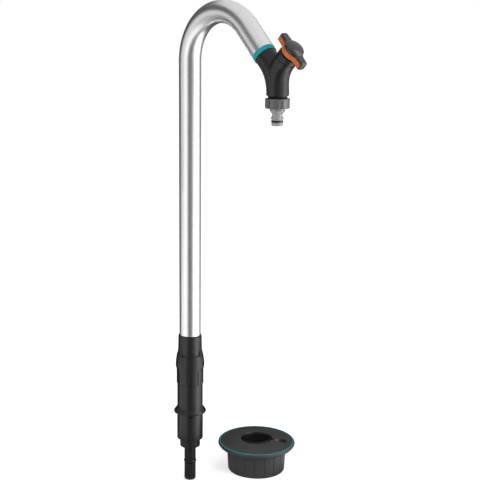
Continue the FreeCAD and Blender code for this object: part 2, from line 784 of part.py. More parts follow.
def knob_base():
    """Black underside of the knob: a flange, a core inside the band and a hub on the stem."""
    low = KNOB_BOTTOM
    high = low + BASE_FLANGE + ACCENT_HEIGHT
    body = knob_prism(BASE_INSET, low, low + BASE_FLANGE)
    body = body.fuse(knob_prism(ACCENT_WALL, low, high))
    body = body.fuse(cylinder(HUB_RADIUS, low, KNOB_BOTTOM + STEM_SQUARE_LENGTH))
    half = STEM_SQUARE / 2 + RUNNING_GAP
    depth = STEM_SQUARE_LENGTH + 2 * REACH_PAST
    socket = Part.makeBox(2 * half, 2 * half, depth, Vector(-half, -half, low - REACH_PAST))
    return on_arm(body.cut(socket), STEM_TILT)


def accent_room(gap):
    """Block with rounded ends that the inlays fill at gap 0, and the cap leaves free round them."""
    reach = KNOB_SPAN / 2 - ACCENT_WALL - ACCENT_END_LAND + gap
    low = KNOB_BOTTOM + BASE_FLANGE - gap
    corner = Vector(-reach, -KNOB_SPAN / 2, low)
    block = Part.makeBox(2 * reach, KNOB_SPAN, ACCENT_HEIGHT + 2 * gap, corner)
    ends = [edge for edge in block.Edges if abs(edge.BoundBox.YLength - KNOB_SPAN) < 1e-6]
    return block.makeFillet(ACCENT_CORNER + gap, ends)


def knob_accent():
    """Two coloured inlays, one along each flank of the knob."""
    low = KNOB_BOTTOM + BASE_FLANGE
    high = low + ACCENT_HEIGHT
    band = knob_prism(0, low, high).cut(knob_prism(ACCENT_WALL, low - 1, high + 1))
    return on_arm(band.common(accent_room(0)), STEM_TILT)


def knob_cap():
    """Grey cap: wings closed over their tips, and a domed boss, hollow over the hub and screw."""
    low = KNOB_BOTTOM + BASE_FLANGE + ACCENT_HEIGHT
    wing_top = low + CAP_GAP + CAP_WING_HEIGHT
    boss_radius = BOSS_RADIUS - CAP_INSET
    boss_top = low + CAP_GAP + BOSS_HEIGHT
    shell = knob_prism(CAP_INSET, low + CAP_GAP, wing_top)
    top_edges = [edge for edge in shell.Edges if lies_at(edge, wing_top)]
    shell = shell.makeFillet(CAP_EDGE_ROUND, top_edges)
    boss = revolved(
        [
            (0, low + CAP_GAP),
            (boss_radius, low + CAP_GAP),
            (boss_radius, boss_top - 2.6),
            ((boss_radius - 0.9, boss_top - 0.8), (boss_radius - 2.8, boss_top)),
            (crown_middle(boss_radius - 2.8, boss_top), (0, boss_top + BOSS_CROWN_RISE)),
        ]
    )
    collar = knob_prism(ACCENT_WALL, low, low + CAP_GAP)
    tips = knob_prism(CAP_INSET, low - ACCENT_HEIGHT, low + CAP_GAP)
    tips = tips.cut(knob_prism(ACCENT_WALL, low - ACCENT_HEIGHT - 1, low + CAP_GAP + 1))
    tips = tips.cut(accent_room(CAP_GAP))
    body = shell.fuse([boss, collar, tips]).removeSplitter()
    cavity = cylinder(HUB_RADIUS + 2.2, low - 1, boss_top - CAP_WALL)
    return on_arm(body.cut(cavity), STEM_TILT)


def crown_middle(radius, base):
    """Middle of the crown's profile arc, whose centre lies on the axis."""
    ball = (radius**2 + BOSS_CROWN_RISE**2) / (2 * BOSS_CROWN_RISE)
    half = math.asin(radius / ball) / 2
    return ball * math.sin(half), base + BOSS_CROWN_RISE - ball * (1 - math.cos(half))


def lies_at(edge, height):
    """True for an edge that lies flat at a height."""
    return all(abs(vertex.Z - height) < 1e-6 for vertex in edge.Vertexes)


def knob_screw():
    """Screw that draws the knob's hub onto the stem."""
    seat = KNOB_BOTTOM + STEM_SQUARE_LENGTH
    washer_head = cylinder(SCREW_HEAD_RADIUS + 1.6, seat, seat + SCREW_HEAD_HEIGHT)
    shank = cylinder(SCREW_RADIUS, seat - SCREW_LENGTH + 0.5, seat)
    drive = Part.makeBox(5, 1, 1, Vector(-2.5, -0.5, seat + SCREW_HEAD_HEIGHT - 1))
    return on_arm(washer_head.fuse(shank).cut(drive), STEM_TILT)


def connector_levels():
    """Heights of the hose connector's features, from its rim down to its tip."""
    top = OUTLET_Z - CONNECTOR_TOP_GAP
    floor = NECK_END_Z - WASHER_THICKNESS
    bottom = top - CONNECTOR_NUT_HEIGHT
    shoulder = bottom - SHOULDER_HEIGHT
    neck = shoulder - SHOULDER_TAPER
    flange = neck - LATCH_NECK_LENGTH
    land = flange - FLANGE_HEIGHT
    groove = land - LAND_HEIGHT
    groove_low = groove - 2 * HOSE_RING_CORD - 0.4
    tip = groove_low - TIP_LENGTH
    return top, floor, bottom, shoulder, neck, flange, land, groove, groove_low, tip


def hose_ring_floor():
    """Groove floor radius of the O-ring on the hose nose."""
    return LAND_RADIUS + HOSE_RING_PROUD - 2 * HOSE_RING_CORD


def hose_connector():
    """Lobed nut with the hose nose below it, in one moulding."""
    top, floor, bottom, shoulder, neck, flange, land, groove, groove_low, tip = connector_levels()
    bore = NECK_RADIUS + LOOSE_GAP
    outer = bore + CONNECTOR_WALL
    outline = [
        (bore, top),
        (outer - 0.6, top),
        (outer, top - 0.6),
        (outer, bottom + 1.2),
        (outer - 1.2, bottom),
        (SHOULDER_RADIUS, bottom),
        (SHOULDER_RADIUS, shoulder),
        (LATCH_NECK_RADIUS, neck),
        (LATCH_NECK_RADIUS, flange),
        (FLANGE_RADIUS, flange),
        (FLANGE_RADIUS, land),
        (LAND_RADIUS, land),
        (LAND_RADIUS, groove),
        (hose_ring_floor(), groove),
        (hose_ring_floor(), groove_low),
        (LAND_RADIUS, groove_low),
        (LAND_RADIUS, tip + TIP_BEVEL),
        (LAND_RADIUS - TIP_BEVEL, tip),
        (HOSE_BORE_RADIUS, tip),
        (HOSE_BORE_RADIUS, floor),
        (bore, floor),
    ]
    body = revolved(outline)
    groove_cut = radial_pocket(
        LOBE_GROOVE_WIDTH,
        bottom - 3,
        top + 3,
        0.8,
        outer - LOBE_GROOVE_DEPTH,
        outer + 3,
        LOBE_GROOVE_AZIMUTH,
    )
    return at_outlet(body.cut(around(groove_cut, LOBE_COUNT)))


def connector_oring():
    """O-ring on the hose nose."""
    levels = connector_levels()
    centre = hose_ring_floor() + HOSE_RING_CORD
    return at_outlet(o_ring(centre, HOSE_RING_CORD, (levels[7] + levels[8]) / 2))


def outlet_washer():
    """Flat washer between the outlet neck and the connector's floor."""
    low = NECK_END_Z - WASHER_THICKNESS
    return at_outlet(pipe(NECK_RADIUS - 0.2, OUTLET_BORE_RADIUS, low, NECK_END_Z))


def collar_bore():
    """Radius of the collar's bore, which lets the foot's barrel through."""
    return BARREL_RADIUS + LOOSE_GAP


def hub_bore():
    """Radius inside the housing's hub, which holds the guide sleeve."""
    return collar_bore() + SLEEVE_WALL


def deck_top():
    """Height of the deck's upper face, under the cover."""
    return COLLAR_HEIGHT - DECK_DROP


def cover_edge_radius():
    """Outer radius of the cover, inside the trim ring."""
    return COLLAR_RIM_RADIUS - COLLAR_TRIM_INSET - COLLAR_TRIM_WIDTH


def recess_radius():
    """Outer radius of the deck's recess under the cover, level with the skirt's inside."""
    return SKIRT_TOP_RADIUS - SKIRT_WALL


def screw_circle():
    """Radius of the cover screws' circle, midway between the hub and the skirt."""
    return (hub_bore() + HUB_WALL + recess_radius()) / 2


def collar_housing():
    """Rim, tapered skirt, deck and hub of the ground collar, open underneath, with ribs."""
    deck = deck_top()
    under = deck - DECK_THICKNESS
    rim_low = COLLAR_HEIGHT - RIM_THICKNESS
    shelf = rim_low + DECK_THICKNESS
    foot = SKIRT_TOP_RADIUS - SKIRT_DRAFT
    edge = cover_edge_radius()
    trim_outer = edge + COLLAR_TRIM_WIDTH
    rim_middle = (COLLAR_RIM_RADIUS, COLLAR_HEIGHT - RIM_THICKNESS * 0.42)
    outline = [
        (foot - SKIRT_WALL, 0),
        (foot - 1.0, 0),
        (foot, 1.0),
        (SKIRT_TOP_RADIUS, rim_low),
        (COLLAR_RIM_RADIUS - 3.5, rim_low),
        (rim_middle, (trim_outer + 0.6, COLLAR_HEIGHT)),
        (trim_outer, COLLAR_HEIGHT),
        (trim_outer, COLLAR_HEIGHT - COLLAR_TRIM_HEIGHT),
        (edge, COLLAR_HEIGHT - COLLAR_TRIM_HEIGHT),
        (edge, COLLAR_HEIGHT - COVER_WALL),
        (edge - COVER_LEDGE, COLLAR_HEIGHT - COVER_WALL),
        (edge - COVER_LEDGE, shelf),
        (recess_radius(), shelf),
        (recess_radius(), deck),
        (hub_bore(), deck),
        (hub_bore(), deck - HUB_DROP),
        (hub_bore() + HUB_WALL, deck - HUB_DROP),
        (hub_bore() + HUB_WALL, under),
        (recess_radius(), under),
    ]
    body = revolved(outline)
    rib_inner = hub_bore() + HUB_WALL / 2
    rib_outer = foot - SKIRT_WALL / 2
    rib = Part.makeBox(
        rib_outer - rib_inner,
        RIB_THICKNESS,
        RIB_HEIGHT + DECK_THICKNESS / 2,
        Vector(rib_inner, -RIB_THICKNESS / 2, under - RIB_HEIGHT),
    )
    rib.rotate(Vector(), Vector(0, 0, 1), RIB_AZIMUTH)
    body = body.fuse(around(rib, RIB_COUNT)).removeSplitter()
    line = radial_pocket(
        SKIRT_LINE_WIDTH,
        -1,
        rim_low - 2.5,
        0.2,
        foot - SKIRT_LINE_DEPTH,
        SKIRT_TOP_RADIUS + 4,
        SKIRT_LINE_AZIMUTH,
    )
    hole = screw_hole(COVER_SCREW_RADIUS + 0.2, 0, COLLAR_HEIGHT)
    return at_collar(
        body.cut(around(line, SKIRT_LINE_COUNT) + around(hole, COVER_SCREW_COUNT))
    )


def screw_hole(radius, low, high):
    """Upright cylinder on the cover screws' circle, as far from the slider as it can be."""
    hole = Part.makeCylinder(radius, high - low, Vector(screw_circle(), 0, low))
    hole.rotate(Vector(), Vector(0, 0, 1), SLIDER_AZIMUTH + 180.0 / COVER_SCREW_COUNT)
    return hole


def collar_trim_ring():
    """Thin coloured ring let into the rim."""
    edge = cover_edge_radius()
    ring = pipe(
        edge + COLLAR_TRIM_WIDTH,
        edge,
        COLLAR_HEIGHT - COLLAR_TRIM_HEIGHT,
        COLLAR_HEIGHT + 0.35,
    )
    return at_collar(ring)


def collar_cover():
    """Domed cover with a rounded edge round the bore, a slot for the slider and screw bosses."""
    edge = cover_edge_radius()
    inner = hub_bore() + COVER_RECESS
    high = COLLAR_HEIGHT + DOME_RISE
    low = COLLAR_HEIGHT - COVER_WALL
    middle = (edge + inner) / 2
    sag = COLLAR_HEIGHT + DOME_RISE * 0.56
    outline = [
        (edge, low),
        (edge, COLLAR_HEIGHT),
        ((middle, sag), (inner + 2.0, high)),
        ((inner + 0.6, high - 0.6), (inner, high - 2.0)),
        (inner, deck_top() + 2.0),
        (inner + COVER_WALL, deck_top() + 2.0),
        (inner + COVER_WALL, high - COVER_WALL - 0.6),
        ((middle, sag - COVER_WALL), (edge - COVER_LEDGE, low)),
    ]
    body = revolved(outline)
    boss_top = COLLAR_HEIGHT + DOME_RISE * 0.4
    bosses = around(screw_hole(COVER_BOSS_RADIUS, deck_top(), boss_top), COVER_SCREW_COUNT)
    holes = around(screw_hole(COVER_SCREW_RADIUS, deck_top() - 1, boss_top - 2), COVER_SCREW_COUNT)
    slot_half = SLIDER_WIDTH / 2 + LOOSE_GAP
    slot = radial_pocket(
        2 * slot_half,
        deck_top(),
        high + REACH_PAST,
        0.01,
        inner - REACH_PAST,
        SLIDER_SLOT_END,
        SLIDER_AZIMUTH,
    )
    return at_collar(body.fuse(bosses).removeSplitter().cut(holes + [slot]))


def cover_screws():
    """Four screws that hold the cover, driven from below."""
    head_top = deck_top() - DECK_THICKNESS
    head = screw_hole(COVER_SCREW_HEAD_RADIUS, head_top - COVER_SCREW_HEAD_HEIGHT, head_top)
    shank = screw_hole(COVER_SCREW_RADIUS, head_top, COLLAR_HEIGHT + DOME_RISE * 0.4 - 2.5)
    return at_collar(Part.makeCompound(around(head.fuse(shank), COVER_SCREW_COUNT)))


def sleeve_top():
    """Height of the guide sleeve's top face, under the dirt seal."""
    return COLLAR_HEIGHT + SLEEVE_LIP_RISE - DIRT_SEAL_THICKNESS


def tongue_height():
    """Height of the slider's tongue, level with the foot's locking hole once plugged in."""
    return COLLAR_HEIGHT + SLEEVE_LIP_RISE - LOCK_DROP


def guide_sleeve():
    """Smooth sleeve in the hub that takes the foot, with a small port for the tongue."""
    sleeve = pipe(hub_bore(), collar_bore(), deck_top() - HUB_DROP - 4, sleeve_top())
    port = radial_pin(
        SLIDER_TONGUE_RADIUS + LOOSE_GAP,
        collar_bore() - 3,
        hub_bore() + 3,
        tongue_height(),
        SLIDER_AZIMUTH,
    )
    return at_collar(sleeve.cut(port))


def dirt_seal():
    """Rubber wiper lip on top of the guide sleeve."""
    high = COLLAR_HEIGHT + SLEEVE_LIP_RISE
    inner = collar_bore()
    outline = [
        (inner, high - 0.9),
        (inner + 0.5, high - DIRT_SEAL_THICKNESS),
        (hub_bore(), high - DIRT_SEAL_THICKNESS),
        (hub_bore(), high - 0.4),
        (hub_bore() - 0.4, high),
        (collar_bore() + 0.4, high),
    ]
    return at_collar(revolved(outline))


def slider_start():
    """Inner end of the slider's plate, just outside the cover's rounded edge."""
    return hub_bore() + COVER_RECESS + COVER_WALL


def slider_top():
    """Height of the slider's upper face."""
    return tongue_height() + SLIDER_THICKNESS / 2


def lock_slider():
    """Slider with a round tongue in front and a thumb piece on top."""
    start = slider_start()
    high = slider_top()
    low = high - SLIDER_THICKNESS
    half = SLIDER_WIDTH / 2
    plate = Part.makeBox(SLIDER_LENGTH, SLIDER_WIDTH, SLIDER_THICKNESS, Vector(start, -half, low))
    tongue_bar = Part.makeCylinder(
        SLIDER_TONGUE_RADIUS,
        start - collar_bore() - 0.2 + 1,
        Vector(collar_bore() + 0.2, 0, tongue_height()),
        Vector(1, 0, 0),
    )
    thumb = Part.makeBox(
        THUMB_LENGTH,
        THUMB_WIDTH,
        THUMB_RISE + 1,
        Vector(start + SLIDER_LENGTH - THUMB_LENGTH - 1.2, -THUMB_WIDTH / 2, high - 1),
    )
    foot_end = recess_radius() - LOOSE_GAP
    foot = Part.makeBox(
        foot_end - start - 1,
        SLIDER_WIDTH - 3,
        low - deck_top() + 0.5,
        Vector(start + 1, -(SLIDER_WIDTH - 3) / 2, deck_top()),
    )
    body = plate.fuse([tongue_bar, thumb, foot]).removeSplitter()
    body.rotate(Vector(), Vector(0, 0, 1), SLIDER_AZIMUTH)
    return at_collar(body)


def lock_mark():
    """Round coloured mark on the slider, left plain."""
    mark = Part.makeCylinder(
        MARK_RADIUS, MARK_HEIGHT, Vector(slider_start() + MARK_OFFSET, 0, slider_top())
    )
    mark.rotate(Vector(), Vector(0, 0, 1), SLIDER_AZIMUTH)
    return at_collar(mark)


PIECES = {
    "plug_nose": plug_nose,
    "plug_oring": plug_oring,
    "spigot_orings": spigot_orings,
    "foot_barrel": foot_barrel,
    "bell_ring": bell_ring,
    "clamp_collet": clamp_collet,
    "grip_nut": grip_nut,
    "riser_tube": riser_tube,
    "trim_ring": trim_ring,
    "valve_body": valve_body,
    "inlet_orings": inlet_orings,
    "seat_seal": seat_seal,
    "bonnet_ring": bonnet_ring,
    "bonnet_oring": bonnet_oring,
    "valve_rotor": valve_rotor,
    "valve_stem": valve_stem,
    "stem_orings": stem_orings,
    "knob_base": knob_base,
    "knob_accent": knob_accent,
    "knob_cap": knob_cap,
    "knob_screw": knob_screw,
    "outlet_washer": outlet_washer,
    "hose_connector": hose_connector,
    "connector_oring": connector_oring,
    "collar_housing": collar_housing,
    "collar_trim_ring": collar_trim_ring,
    "collar_cover": collar_cover,
    "cover_screws": cover_screws,
    "guide_sleeve": guide_sleeve,
    "dirt_seal": dirt_seal,
    "lock_slider": lock_slider,
    "lock_mark": lock_mark,
}


def main():
    """Builds every piece and writes one STEP file for each."""
    os.makedirs("parts", exist_ok=True)
    for name, build in PIECES.items():
        shape = build()
        shape.exportStep("parts/" + name + ".step")
        box = shape.BoundBox
        print(
            f"{name:18s} solids {len(shape.Solids)} valid {shape.isValid()}"
            f" volume {shape.Volume / 1000:8.2f} cm3"
            f" z {box.ZMin:7.1f} to {box.ZMax:7.1f}"
        )


main()
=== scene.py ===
# %% [markdown]
# # Dressing a garden tap for its picture
# The tap is a bent aluminium tube between two black plastic ends: a foot that plugs into the
# ground, and a Y-shaped valve with a two-winged knob and a hose connector. Beside it stands the
# round ground collar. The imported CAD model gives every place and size. This script lays smooth,
# detailed surfaces over it, gives each piece its own material, and sets up the studio.

import bpy
import numpy as np
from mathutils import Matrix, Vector


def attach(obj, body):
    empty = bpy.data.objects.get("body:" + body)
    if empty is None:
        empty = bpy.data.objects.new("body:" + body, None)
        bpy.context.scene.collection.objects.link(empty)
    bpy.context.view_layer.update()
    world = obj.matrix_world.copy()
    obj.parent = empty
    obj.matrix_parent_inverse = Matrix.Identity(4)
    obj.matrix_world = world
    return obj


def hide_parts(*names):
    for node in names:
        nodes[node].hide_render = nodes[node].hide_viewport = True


MM = 0.001
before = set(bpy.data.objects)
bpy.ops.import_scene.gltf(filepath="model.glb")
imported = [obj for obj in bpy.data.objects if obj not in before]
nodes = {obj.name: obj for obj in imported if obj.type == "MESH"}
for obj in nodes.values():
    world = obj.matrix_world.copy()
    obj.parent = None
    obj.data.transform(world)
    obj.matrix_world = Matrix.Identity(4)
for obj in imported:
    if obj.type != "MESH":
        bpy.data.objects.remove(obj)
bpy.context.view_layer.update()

# %% [markdown]
# ## A surface from a grid of points
# Every piece that shows is moulded, turned or drawn, so its skin is one smooth sheet that closes
# on itself. It could be cut from Blender's own solids, but their seams would need cleaning by
# hand. Here each piece is a grid of points worked out with numpy: rows run along an outline or a
# path, and columns run round it. Joining neighbours with quads gives the skin. Where both
# directions close, the skin is watertight, and the sign of its volume tells whether its faces
# point outwards.

# %% Grid surfaces
SHARP_EDGE = np.radians(40)
WELD_GAP = 0.001 * MM


def grid_quads(rows, columns, close_rows):
    """Quads between neighbouring grid points, by their places in the list of points.

    Point (row, column) has the place row x columns + column. The last column joins the first,
    and the last row joins the first when asked.
    """
    row = np.arange(rows if close_rows else rows - 1)
    a, b = np.meshgrid(row, np.arange(columns), indexing="ij")
    next_a = (a + 1) % rows
    next_b = (b + 1) % columns
    corners = ((a, b), (a, next_b), (next_a, next_b), (next_a, b))
    return np.stack([i * columns + j for i, j in corners], -1).reshape(-1, 4)


def signed_volume(points, quads):
    """Sum of the signed tetrahedra between the origin and each quad's two triangles, times six."""
    a, b, c, d = (points[quads[:, k]] for k in range(4))
    first = np.einsum("ij,ij->i", a, np.cross(b, c))
    second = np.einsum("ij,ij->i", a, np.cross(c, d))
    return float((first + second).sum())


def make_object(name, points, faces):
    """Puts points and faces into a smooth-shaded mesh object at the origin."""
    mesh = bpy.data.meshes.new(name)
    mesh.from_pydata(points.tolist(), [], faces.tolist())
    mesh.polygons.foreach_set("use_smooth", np.ones(len(mesh.polygons), bool))
    mesh.set_sharp_from_angle(angle=SHARP_EDGE)
    made = bpy.data.objects.new(name, mesh)
    bpy.context.scene.collection.objects.link(made)
    return made


def bake(piece):
    """Replaces a piece's mesh by what its modifiers make of it."""
    graph = bpy.context.evaluated_depsgraph_get()
    made = bpy.data.meshes.new_from_object(piece.evaluated_get(graph))
    piece.modifiers.clear()
    old = piece.data
    piece.data = made
    bpy.data.meshes.remove(old)


def weld(piece):
    """Merges points that lie on each other, so a pole or a seam is closed."""
    modifier = piece.modifiers.new("Weld", "WELD")
    modifier.merge_threshold = WELD_GAP
    bake(piece)


def skin(name, grid, close_rows=True):
    """Mesh object from a grid of points (rows, columns, 3) in millimetres, turned outwards.

    An open first or last row is closed by a fan that shrinks the row to its middle point.
    """
    grid = grid * MM
    if not close_rows:
        first = np.broadcast_to(grid[:1].mean(1, keepdims=True), grid[:1].shape)
        last = np.broadcast_to(grid[-1:].mean(1, keepdims=True), grid[-1:].shape)
        grid = np.concatenate([first, grid, last])
    rows, columns, _ = grid.shape
    points = grid.reshape(-1, 3)
    quads = grid_quads(rows, columns, close_rows)
    if signed_volume(points - points.mean(0), quads) < 0:
        quads = quads[:, ::-1]
    made = make_object(name, points, quads)
    weld(made)
    return made


# %% [markdown]
# ## Outlines with rounded corners
# Moulded plastic has no sharp corners, and its small radii catch the light. A bevel modifier could
# round them, but it gives every edge one width. On a drawing each corner has its own radius, so an
# outline is written here as (radius, height, rounding) corners, and each corner is replaced by a
# circle arc that touches both of its lines.

# %% Rounded outlines
ARC_STEPS = 7
NOUGHT = 1e-12
LEAST_TURN = 1e-4
SAME_PLACE = 1e-5


def unit(vectors):
    """Rows of vectors, each divided by its length."""
    return vectors / (np.linalg.norm(vectors, axis=1, keepdims=True) + NOUGHT)


def rounded(corners, close=True):
    """Outline from (radius, height, rounding) corners in millimetres.

    A corner is cut back by rounding x tan(turn / 2) along both of its lines. The arc between the
    cuts is found by turning one of the arc's spokes into the other at an even rate.
    """
    table = np.array(corners, float)
    points = table[:, :2]
    before = unit(np.roll(points, 1, 0) - points)
    after = unit(np.roll(points, -1, 0) - points)
    turn = np.pi - np.arccos(np.clip((before * after).sum(1), -1, 1))
    turn = np.clip(turn, LEAST_TURN, np.pi - LEAST_TURN)
    rounding = table[:, 2]
    if not close:
        rounding[[0, -1]] = 0
    cut = (rounding * np.tan(turn / 2))[:, None]
    centre = points + unit(before + after) * (rounding / np.cos(turn / 2))[:, None]
    first = points + before * cut - centre
    last = points + after * cut - centre
    share = np.linspace(0, 1, ARC_STEPS)[None, :, None]
    angle = turn[:, None, None]
    spokes = np.sin((1 - share) * angle) * first[:, None] + np.sin(share * angle) * last[:, None]
    arcs = centre[:, None] + spokes / np.sin(angle)
    outline = np.where(rounding[:, None, None] > 0, arcs, points[:, None]).reshape(-1, 2)
    step = np.linalg.norm(outline - np.roll(outline, 1, 0), axis=1)
    keep = step > SAME_PLACE
    if not close:
        keep[0] = True
    return outline[keep]


def refined(outline, step, close=True):
    """Adds points so that no stretch of an outline is longer than the step.

    Each line is cut into length / step equal parts, rounded up.
    """
    loop = np.vstack([outline, outline[:1]]) if close else outline
    lengths = np.linalg.norm(np.diff(loop, axis=0), axis=1)
    counts = np.maximum(1, np.ceil(lengths / step).astype(int))
    starts = np.concatenate([[0], np.cumsum(lengths)])
    places = np.concatenate(
        [np.linspace(starts[i], starts[i + 1], n, endpoint=False) for i, n in enumerate(counts)]
    )
    if not close:
        places = np.append(places, starts[-1])
    return np.stack([np.interp(places, starts, loop[:, k]) for k in range(2)], -1)


def smooth_step(value):
    """Goes from 0 to 1 as value v does, level at both ends: 3 v^2 - 2 v^3."""
    value = np.clip(value, 0, 1)
    return value * value * (3 - 2 * value)


# %% [markdown]
# ## The tap's skeleton
# Everything on the tap hangs on one line: up the pole, round the bend, and down the spout to the
# node, where the axes of the valve's two arms and its outlet meet. Measuring each place by hand
# would let the pieces drift apart, so the node is worked out from the bend, and each piece is
# placed from the node, the outlet's axis or the collar's centre.

# %% Skeleton
BEND_RADIUS = 70.0
BEND_START = 643.5
BEND_TURN = np.radians(135)
SPOUT_RUN = 81.0
SPOUT_WAY = np.array([np.sin(BEND_TURN), 0, np.cos(BEND_TURN)])
BEND_END = np.array(
    [
        BEND_RADIUS * (1 - np.cos(BEND_TURN)),
        0,
        BEND_START + BEND_RADIUS * np.sin(BEND_TURN),
    ]
)
NODE = BEND_END + SPOUT_RUN * SPOUT_WAY
INLET_TILT = -45.0
STEM_TILT = 45.0
OUTLET_OFFSET = 2.8
COLLAR = np.array([36.8, 106.6, 0.0])
UP = np.array([0.0, 0.0, 1.0])


def outward(azimuth):
    """Level direction at an azimuth in degrees."""
    angle = np.radians(azimuth)
    return np.array([np.cos(angle), np.sin(angle), 0])


def leaned(points, tilt):
    """Leans points about the Y axis by the tilt in degrees and moves them to the valve's node."""
    angle = np.radians(tilt)
    cos, sin = np.cos(angle), np.sin(angle)
    turn = np.array([[cos, 0, sin], [0, 1, 0], [-sin, 0, cos]])
    return points @ turn.T + NODE


def on_inlet(points):
    """Moves points from the Z axis to the inlet arm's axis."""
    return leaned(points, INLET_TILT)


def on_stem(points):
    """Moves points from the Z axis to the stem arm's axis."""
    return leaned(points, STEM_TILT)


def at_outlet(points):
    """Moves points from the Z axis to the outlet's axis."""
    return points + np.array([NODE[0] + OUTLET_OFFSET, 0, 0])


def at_collar(points):
    """Moves points from the Z axis to the ground collar's axis."""
    return points + COLLAR


print("valve node", NODE)

# %% [markdown]
# ## Turned and swept pieces
# Most pieces of a tap are turned about an axis. Blender's Screw modifier could spin an outline, but
# the lathe below can also change the radius by angle and height, which is how lobes, scoops and
# slots are pressed into a piece without cutting it. Bent pieces are a circle carried along a line.

# %% Lathe and sweep


def even_angles(count):
    """Evenly spaced angles round a full turn."""
    return np.linspace(0, 2 * np.pi, count, endpoint=False)


def lathe(outline, angles, shape=None):
    """Spun outline: (r, z) at angle t goes to (r cos t, r sin t, z).

    The shape is a function of angle, radius and height that gives a new radius.
    """
    radius = np.repeat(outline[:, :1], len(angles), 1)
    height = np.repeat(outline[:, 1:], len(angles), 1)
    turn = np.repeat(angles[None, :], len(outline), 0)
    if shape is not None:
        radius = shape(turn, radius, height)
    return np.stack([radius * np.cos(turn), radius * np.sin(turn), height], -1)


def turned(name, outline, columns, place=None, shape=None):
    """Piece made by spinning a closed outline about the Z axis and moving it to its place."""
    grid = lathe(outline, even_angles(columns), shape)
    return skin(name, grid if place is None else place(grid))


def swept(centres, side, radius, angles):
    """Round bar along centres that lie in the XZ plane: centre + r (cos t side + sin t Y)."""
    y_axis = np.array([0.0, 1.0, 0.0])
    spoke = np.cos(angles)[None, :, None] * side[:, None] + np.sin(angles)[None, :, None] * y_axis
    return centres[:, None] + radius * spoke


def across_bend(lean):
    """Directions that stand square on a line that leans by the given angles from upright."""
    return np.stack([np.cos(lean), 0 * lean, -np.sin(lean)], -1)


# %% [markdown]
# ## Shader groups that several finishes share
# Injection-moulded plastic has a fine spark-eroded grain and broad, faint changes of sheen, and a
# drawn tube has fine streaks along its length. Both could be built anew in every material, but a
# node group with named inputs keeps them alike. Plastic reads Object coordinates, because each
# piece keeps its place in its mesh. The tube reads a map of the distance along and round it.

# %% Shared shader groups
ALONG_SCALE = 0.006


def link(tree, source, target):
    """Joins two sockets."""
    tree.links.new(source, target)


def math_node(tree, operation, first, second):
    """Math node with sockets or numbers as its two inputs."""
    node = tree.nodes.new("ShaderNodeMath")
    node.operation = operation
    for place, value in enumerate((first, second)):
        if isinstance(value, (int, float)):
            node.inputs[place].default_value = value
        else:
            link(tree, value, node.inputs[place])
    return node.outputs[0]


def new_group(name, inputs, outputs):
    """Node group with float sockets: the inputs with their defaults, and the outputs."""
    group = bpy.data.node_groups.new(name, "ShaderNodeTree")
    for title, default in inputs.items():
        socket = group.interface.new_socket(title, in_out="INPUT", socket_type="NodeSocketFloat")
        socket.default_value = default
    for title in outputs:
        group.interface.new_socket(title, in_out="OUTPUT", socket_type="NodeSocketFloat")
    return group, group.nodes.new("NodeGroupInput"), group.nodes.new("NodeGroupOutput")


def noise(tree, detail):
    """Noise texture with a given number of octaves."""
    node = tree.nodes.new("ShaderNodeTexNoise")
    node.inputs["Detail"].default_value = detail
    return node


def swung(tree, value, base, swing):
    """Base plus twice the swing times a noise value's distance from one half."""
    centred = math_node(tree, "SUBTRACT", value, 0.5)
    doubled = math_node(tree, "MULTIPLY", math_node(tree, "MULTIPLY", centred, swing), 2.0)
    return math_node(tree, "ADD", base, doubled)


def moulded_grain_group():
    """Group: grain height, a roughness that drifts over the surface, and the drift as a mottle."""
    group, inputs, outputs = new_group(
        "MouldedGrain",
        {"Grain Scale": 1400.0, "Drift Scale": 30.0, "Roughness": 0.45, "Drift": 0.08},
        ("Height", "Roughness", "Mottle"),
    )
    place = group.nodes.new("ShaderNodeTexCoord")
    grain = noise(group, 3.0)
    drift = noise(group, 2.0)
    for node, scale in ((grain, "Grain Scale"), (drift, "Drift Scale")):
        link(group, place.outputs["Object"], node.inputs["Vector"])
        link(group, inputs.outputs[scale], node.inputs["Scale"])
    level = swung(group, drift.outputs["Fac"], inputs.outputs["Roughness"], inputs.outputs["Drift"])
    link(group, grain.outputs["Fac"], outputs.inputs["Height"])
    link(group, level, outputs.inputs["Roughness"])
    link(group, drift.outputs["Fac"], outputs.inputs["Mottle"])
    return group


def drawn_metal_group():
    """Group: fine streaks along the tube, read from a piece's along-and-round UV map."""
    group, inputs, outputs = new_group(
        "DrawnMetal",
        {"Streaks": 700.0, "Roughness": 0.3, "Spread": 0.03},
        ("Height", "Roughness"),
    )
    place = group.nodes.new("ShaderNodeUVMap")
    place.uv_map = "along_round"
    stretch = group.nodes.new("ShaderNodeMapping")
    stretch.inputs["Scale"].default_value = (ALONG_SCALE, 1.0, 1.0)
    streaks = noise(group, 4.0)
    streaks.inputs["Roughness"].default_value = 0.6
    link(group, place.outputs["UV"], stretch.inputs["Vector"])
    link(group, stretch.outputs["Vector"], streaks.inputs["Vector"])
    link(group, inputs.outputs["Streaks"], streaks.inputs["Scale"])
    level = swung(
        group, streaks.outputs["Fac"], inputs.outputs["Roughness"], inputs.outputs["Spread"]
    )
    link(group, streaks.outputs["Fac"], outputs.inputs["Height"])
    link(group, level, outputs.inputs["Roughness"])
    return group


GRAIN = moulded_grain_group()
DRAWN = drawn_metal_group()
print("shader groups", [group.name for group in bpy.data.node_groups])

# %% [markdown]
# ## Finishes
# The plastics differ in colour, sheen and grain, and real pigment drifts a little over a moulding.
# A flat colour would look like paint, so each plastic mixes two close tones by the group's mottle.
# One builder makes them all from a table, which keeps their sheens easy to compare. The anodised
# tube, the steel screws and the brass stem are metals with a fine relief.

